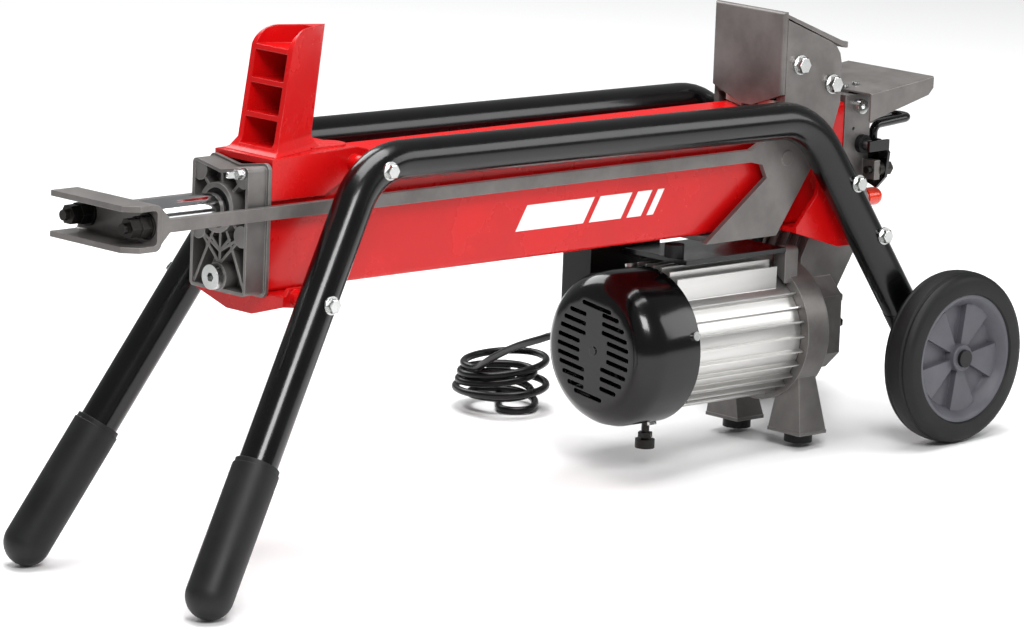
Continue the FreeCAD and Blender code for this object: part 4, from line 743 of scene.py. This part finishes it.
class SPLITTER_OT_wheel_rims(bpy.types.Operator):
    """Moulded wheels: dished ring, web, hub and wedge-shaped spokes"""

    bl_idname = "splitter.wheel_rims"
    bl_label = "Wheel rims"

    def execute(self, context):
        size = context.scene.splitter_sizes
        tree = repeat_round("spokes_round_hub", MATERIALS["grey_nylon_moulding"])

        def dish(work):
            outline = [(1.5, 13.0), (1.5, 52.0), (3.0, 53.2), (7.0, 54.6), (14.5, 60.4), (16.6, 62.6),
                       (17.0, 63.4), (17.0, RIM_R)]
            turned(work, outline + [(-y, radius) for y, radius in reversed(outline)], "Y", 128)

        def hub(side):
            low, high = (-15.0, 19.0) if side < 0 else (-19.0, 15.0)
            outline = [(low, AXLE_R), (low, HUB_R - 1), (low + 1, HUB_R),
                       (high - 1, HUB_R), (high, HUB_R - 1), (high, AXLE_R)]
            return lambda work: turned(work, outline, "Y", 64)

        def one_spoke(work):
            face = work.faces.new([work.verts.new((x, -SPOKE_HALF, z)) for x, z in SPOKE_OUTLINE])
            risen = bmesh.ops.extrude_face_region(work, geom=[face])["geom"]
            ends = [part for part in risen if isinstance(part, bmesh.types.BMVert)]
            bmesh.ops.translate(work, verts=ends, vec=(0, 2 * SPOKE_HALF, 0))
            bmesh.ops.recalc_face_normals(work, faces=work.faces)

        for name, side in (("far", 1), ("near", -1)):
            place = BEAM @ Matrix.Translation((WHEEL_X, side * WHEEL_Y, WHEEL_Z))
            spokes = grow(name + "_spokes", raw_mesh("spoke", one_spoke), tree,
                          {"Count": size.spoke_count, "Step": 2 * pi / size.spoke_count,
                           "First": -radians(FIRST_SPOKE), "Axis": (0.0, 1.0, 0.0)}, place)
            rim = joined(name + "_rim", [spokes, mesh_of("rim_dish", dish, place),
                                         mesh_of("rim_hub", hub(side), place)])
            node = "wheel_rim_" + name
            new_piece(name + "_rim", rim, "grey_nylon_moulding", name + "_wheel", [node])
        return {"FINISHED"}


class SPLITTER_OT_spring(bpy.types.Operator):
    """Return spring of the valve spool"""

    bl_idname = "splitter.spring"
    bl_label = "Spool spring"

    def execute(self, context):
        low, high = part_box("spool_spring")
        place = (Matrix.Translation(((low.x + high.x) / 2, low.y + 0.0006, (low.z + high.z) / 2))
                 @ Matrix.Rotation(radians(-90), 4, "X") @ Matrix.Scale(0.001, 4))
        tree = coil_spring("spool_coil", MATERIALS["turned_steel"])
        mesh = grow("spool_coil", bpy.data.meshes.new("coil_start"), tree, {}, place)
        piece = new_piece("spool_coil", mesh, "turned_steel", "frame",
                          ["spool_spring"])
        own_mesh(piece)
        return {"FINISHED"}


BARS = ((352.0, 92.0), (452.0, 44.0), (504.0, 20.0), (532.0, 9.0))      # start and width of each
BAR_LOW, BAR_HIGH, BAR_LEAN = -93.0, -68.0, 15.0
FILM_Y = (-36.15, -36.02)       # outside and inside of the film, on the beam's side


class SPLITTER_OT_mark(bpy.types.Operator):
    """Plain white bars stuck on the beam's near side"""

    bl_idname = "splitter.mark"
    bl_label = "Side mark"

    def execute(self, context):
        def bars(work):
            for x, width in BARS:
                corners = ((0.0, BAR_LOW), (width, BAR_LOW),
                           (width + BAR_LEAN, BAR_HIGH), (BAR_LEAN, BAR_HIGH))
                outer, inner = [[work.verts.new((x + dx, y, z)) for dx, z in corners] for y in FILM_Y]
                work.faces.new(outer)
                work.faces.new(list(reversed(inner)))
                for i in range(4):
                    j = (i + 1) % 4
                    work.faces.new((outer[i], inner[i], inner[j], outer[j]))

        new_piece("side_mark", mesh_of("side_mark", bars), "white_vinyl", "frame")
        return {"FINISHED"}


# ---------------------------------------------------------------- stage
# Name, place in metres, size in metres and power in watts.
LAMPS = (("key_light", (-1.6, -2.4, 2.6), 1.2, 85.0),
         ("fill_light", (2.4, -2.2, 1.6), 1.6, 30.0),
         ("rim_light", (0.4, 2.6, 2.4), 1.8, 50.0),
         ("top_light", (0.0, 0.0, 3.0), 2.0, 110.0))
LAMP_TARGET = Vector((0.0, 0.0, 0.2))
CAMERA_LENS, CAMERA_AT = 221.8, (-4.18985, -4.3941, 1.5713)
CAMERA_DOWN, CAMERA_AZIMUTH = 12.88, -43.49     # degrees below level, and about the vertical


class SPLITTER_OT_stage(bpy.types.Operator):
    """Pale floor, soft studio lights and the camera"""

    bl_idname = "splitter.stage"
    bl_label = "Stage"

    def execute(self, context):
        scene = context.scene
        scene.view_settings.view_transform = "Standard"
        work = bmesh.new()
        bmesh.ops.create_grid(work, x_segments=1, y_segments=1, size=30.0)
        mesh = bpy.data.meshes.new("studio_floor")
        work.to_mesh(mesh)
        work.free()
        floor = bpy.data.objects.new("studio_floor", mesh)
        floor.location.z = -0.0005
        scene.collection.objects.link(floor)
        paper = bpy.data.materials.new("matte_white_paper")
        paper.use_nodes = True
        shader = paper.node_tree.nodes["Principled BSDF"]
        shader.inputs["Base Color"].default_value = linear("#F4F4F4")
        shader.inputs["Roughness"].default_value = 0.9
        mesh.materials.append(paper)
        world = bpy.data.worlds.new("studio")
        scene.world = world
        world.use_nodes = True
        sky = world.node_tree.nodes["Background"]
        sky.inputs["Color"].default_value = linear("#F6F7F8")
        sky.inputs["Strength"].default_value = 0.28
        for name, place, size, power in LAMPS:
            data = bpy.data.lights.new(name, "AREA")
            data.size = size
            data.energy = power
            lamp = bpy.data.objects.new(name, data)
            lamp.location = place
            lamp.rotation_euler = (LAMP_TARGET - Vector(place)).to_track_quat("-Z", "Y").to_euler()
            scene.collection.objects.link(lamp)
        camera = bpy.data.cameras.new("camera")
        camera.lens = CAMERA_LENS
        view = bpy.data.objects.new("camera", camera)
        view.location = CAMERA_AT
        view.rotation_euler = (radians(90 - CAMERA_DOWN), 0.0, radians(CAMERA_AZIMUTH))
        scene.collection.objects.link(view)
        scene.camera = view
        return {"FINISHED"}


class SPLITTER_PT_panel(bpy.types.Panel):
    """Lists the pieces and their settings"""

    bl_idname = "SPLITTER_PT_panel"
    bl_label = "Log splitter"
    bl_space_type = "VIEW_3D"
    bl_region_type = "UI"
    bl_category = "Splitter"

    def draw(self, context):
        for group in (context.scene.splitter_look, context.scene.splitter_sizes):
            for key in group.__annotations__:
                self.layout.prop(group, key)
        for operator in OPERATORS:
            self.layout.operator(operator.bl_idname)


GROUPS = (SplitterLook, SplitterSizes)
OPERATORS = (SPLITTER_OT_stage, SPLITTER_OT_cord, SPLITTER_OT_bolts, SPLITTER_OT_motor_body,
             SPLITTER_OT_wheel_rims, SPLITTER_OT_spring, SPLITTER_OT_mark, SPLITTER_OT_skins)


def register():
    """Register the classes and their settings."""
    for cls in GROUPS + OPERATORS + (SPLITTER_PT_panel,):
        bpy.utils.register_class(cls)
    bpy.types.Scene.splitter_look = bpy.props.PointerProperty(type=SplitterLook)
    bpy.types.Scene.splitter_sizes = bpy.props.PointerProperty(type=SplitterSizes)


def unregister():
    """Undo register."""
    del bpy.types.Scene.splitter_sizes
    del bpy.types.Scene.splitter_look
    for cls in reversed(GROUPS + OPERATORS + (SPLITTER_PT_panel,)):
        bpy.utils.unregister_class(cls)


def main():
    """Make every piece in order."""
    register()
    make_materials(bpy.context.scene.splitter_look)
    for operator in OPERATORS:
        group, name = operator.bl_idname.split(".")
        getattr(getattr(bpy.ops, group), name)()


if __name__ == "__main__":
    main()
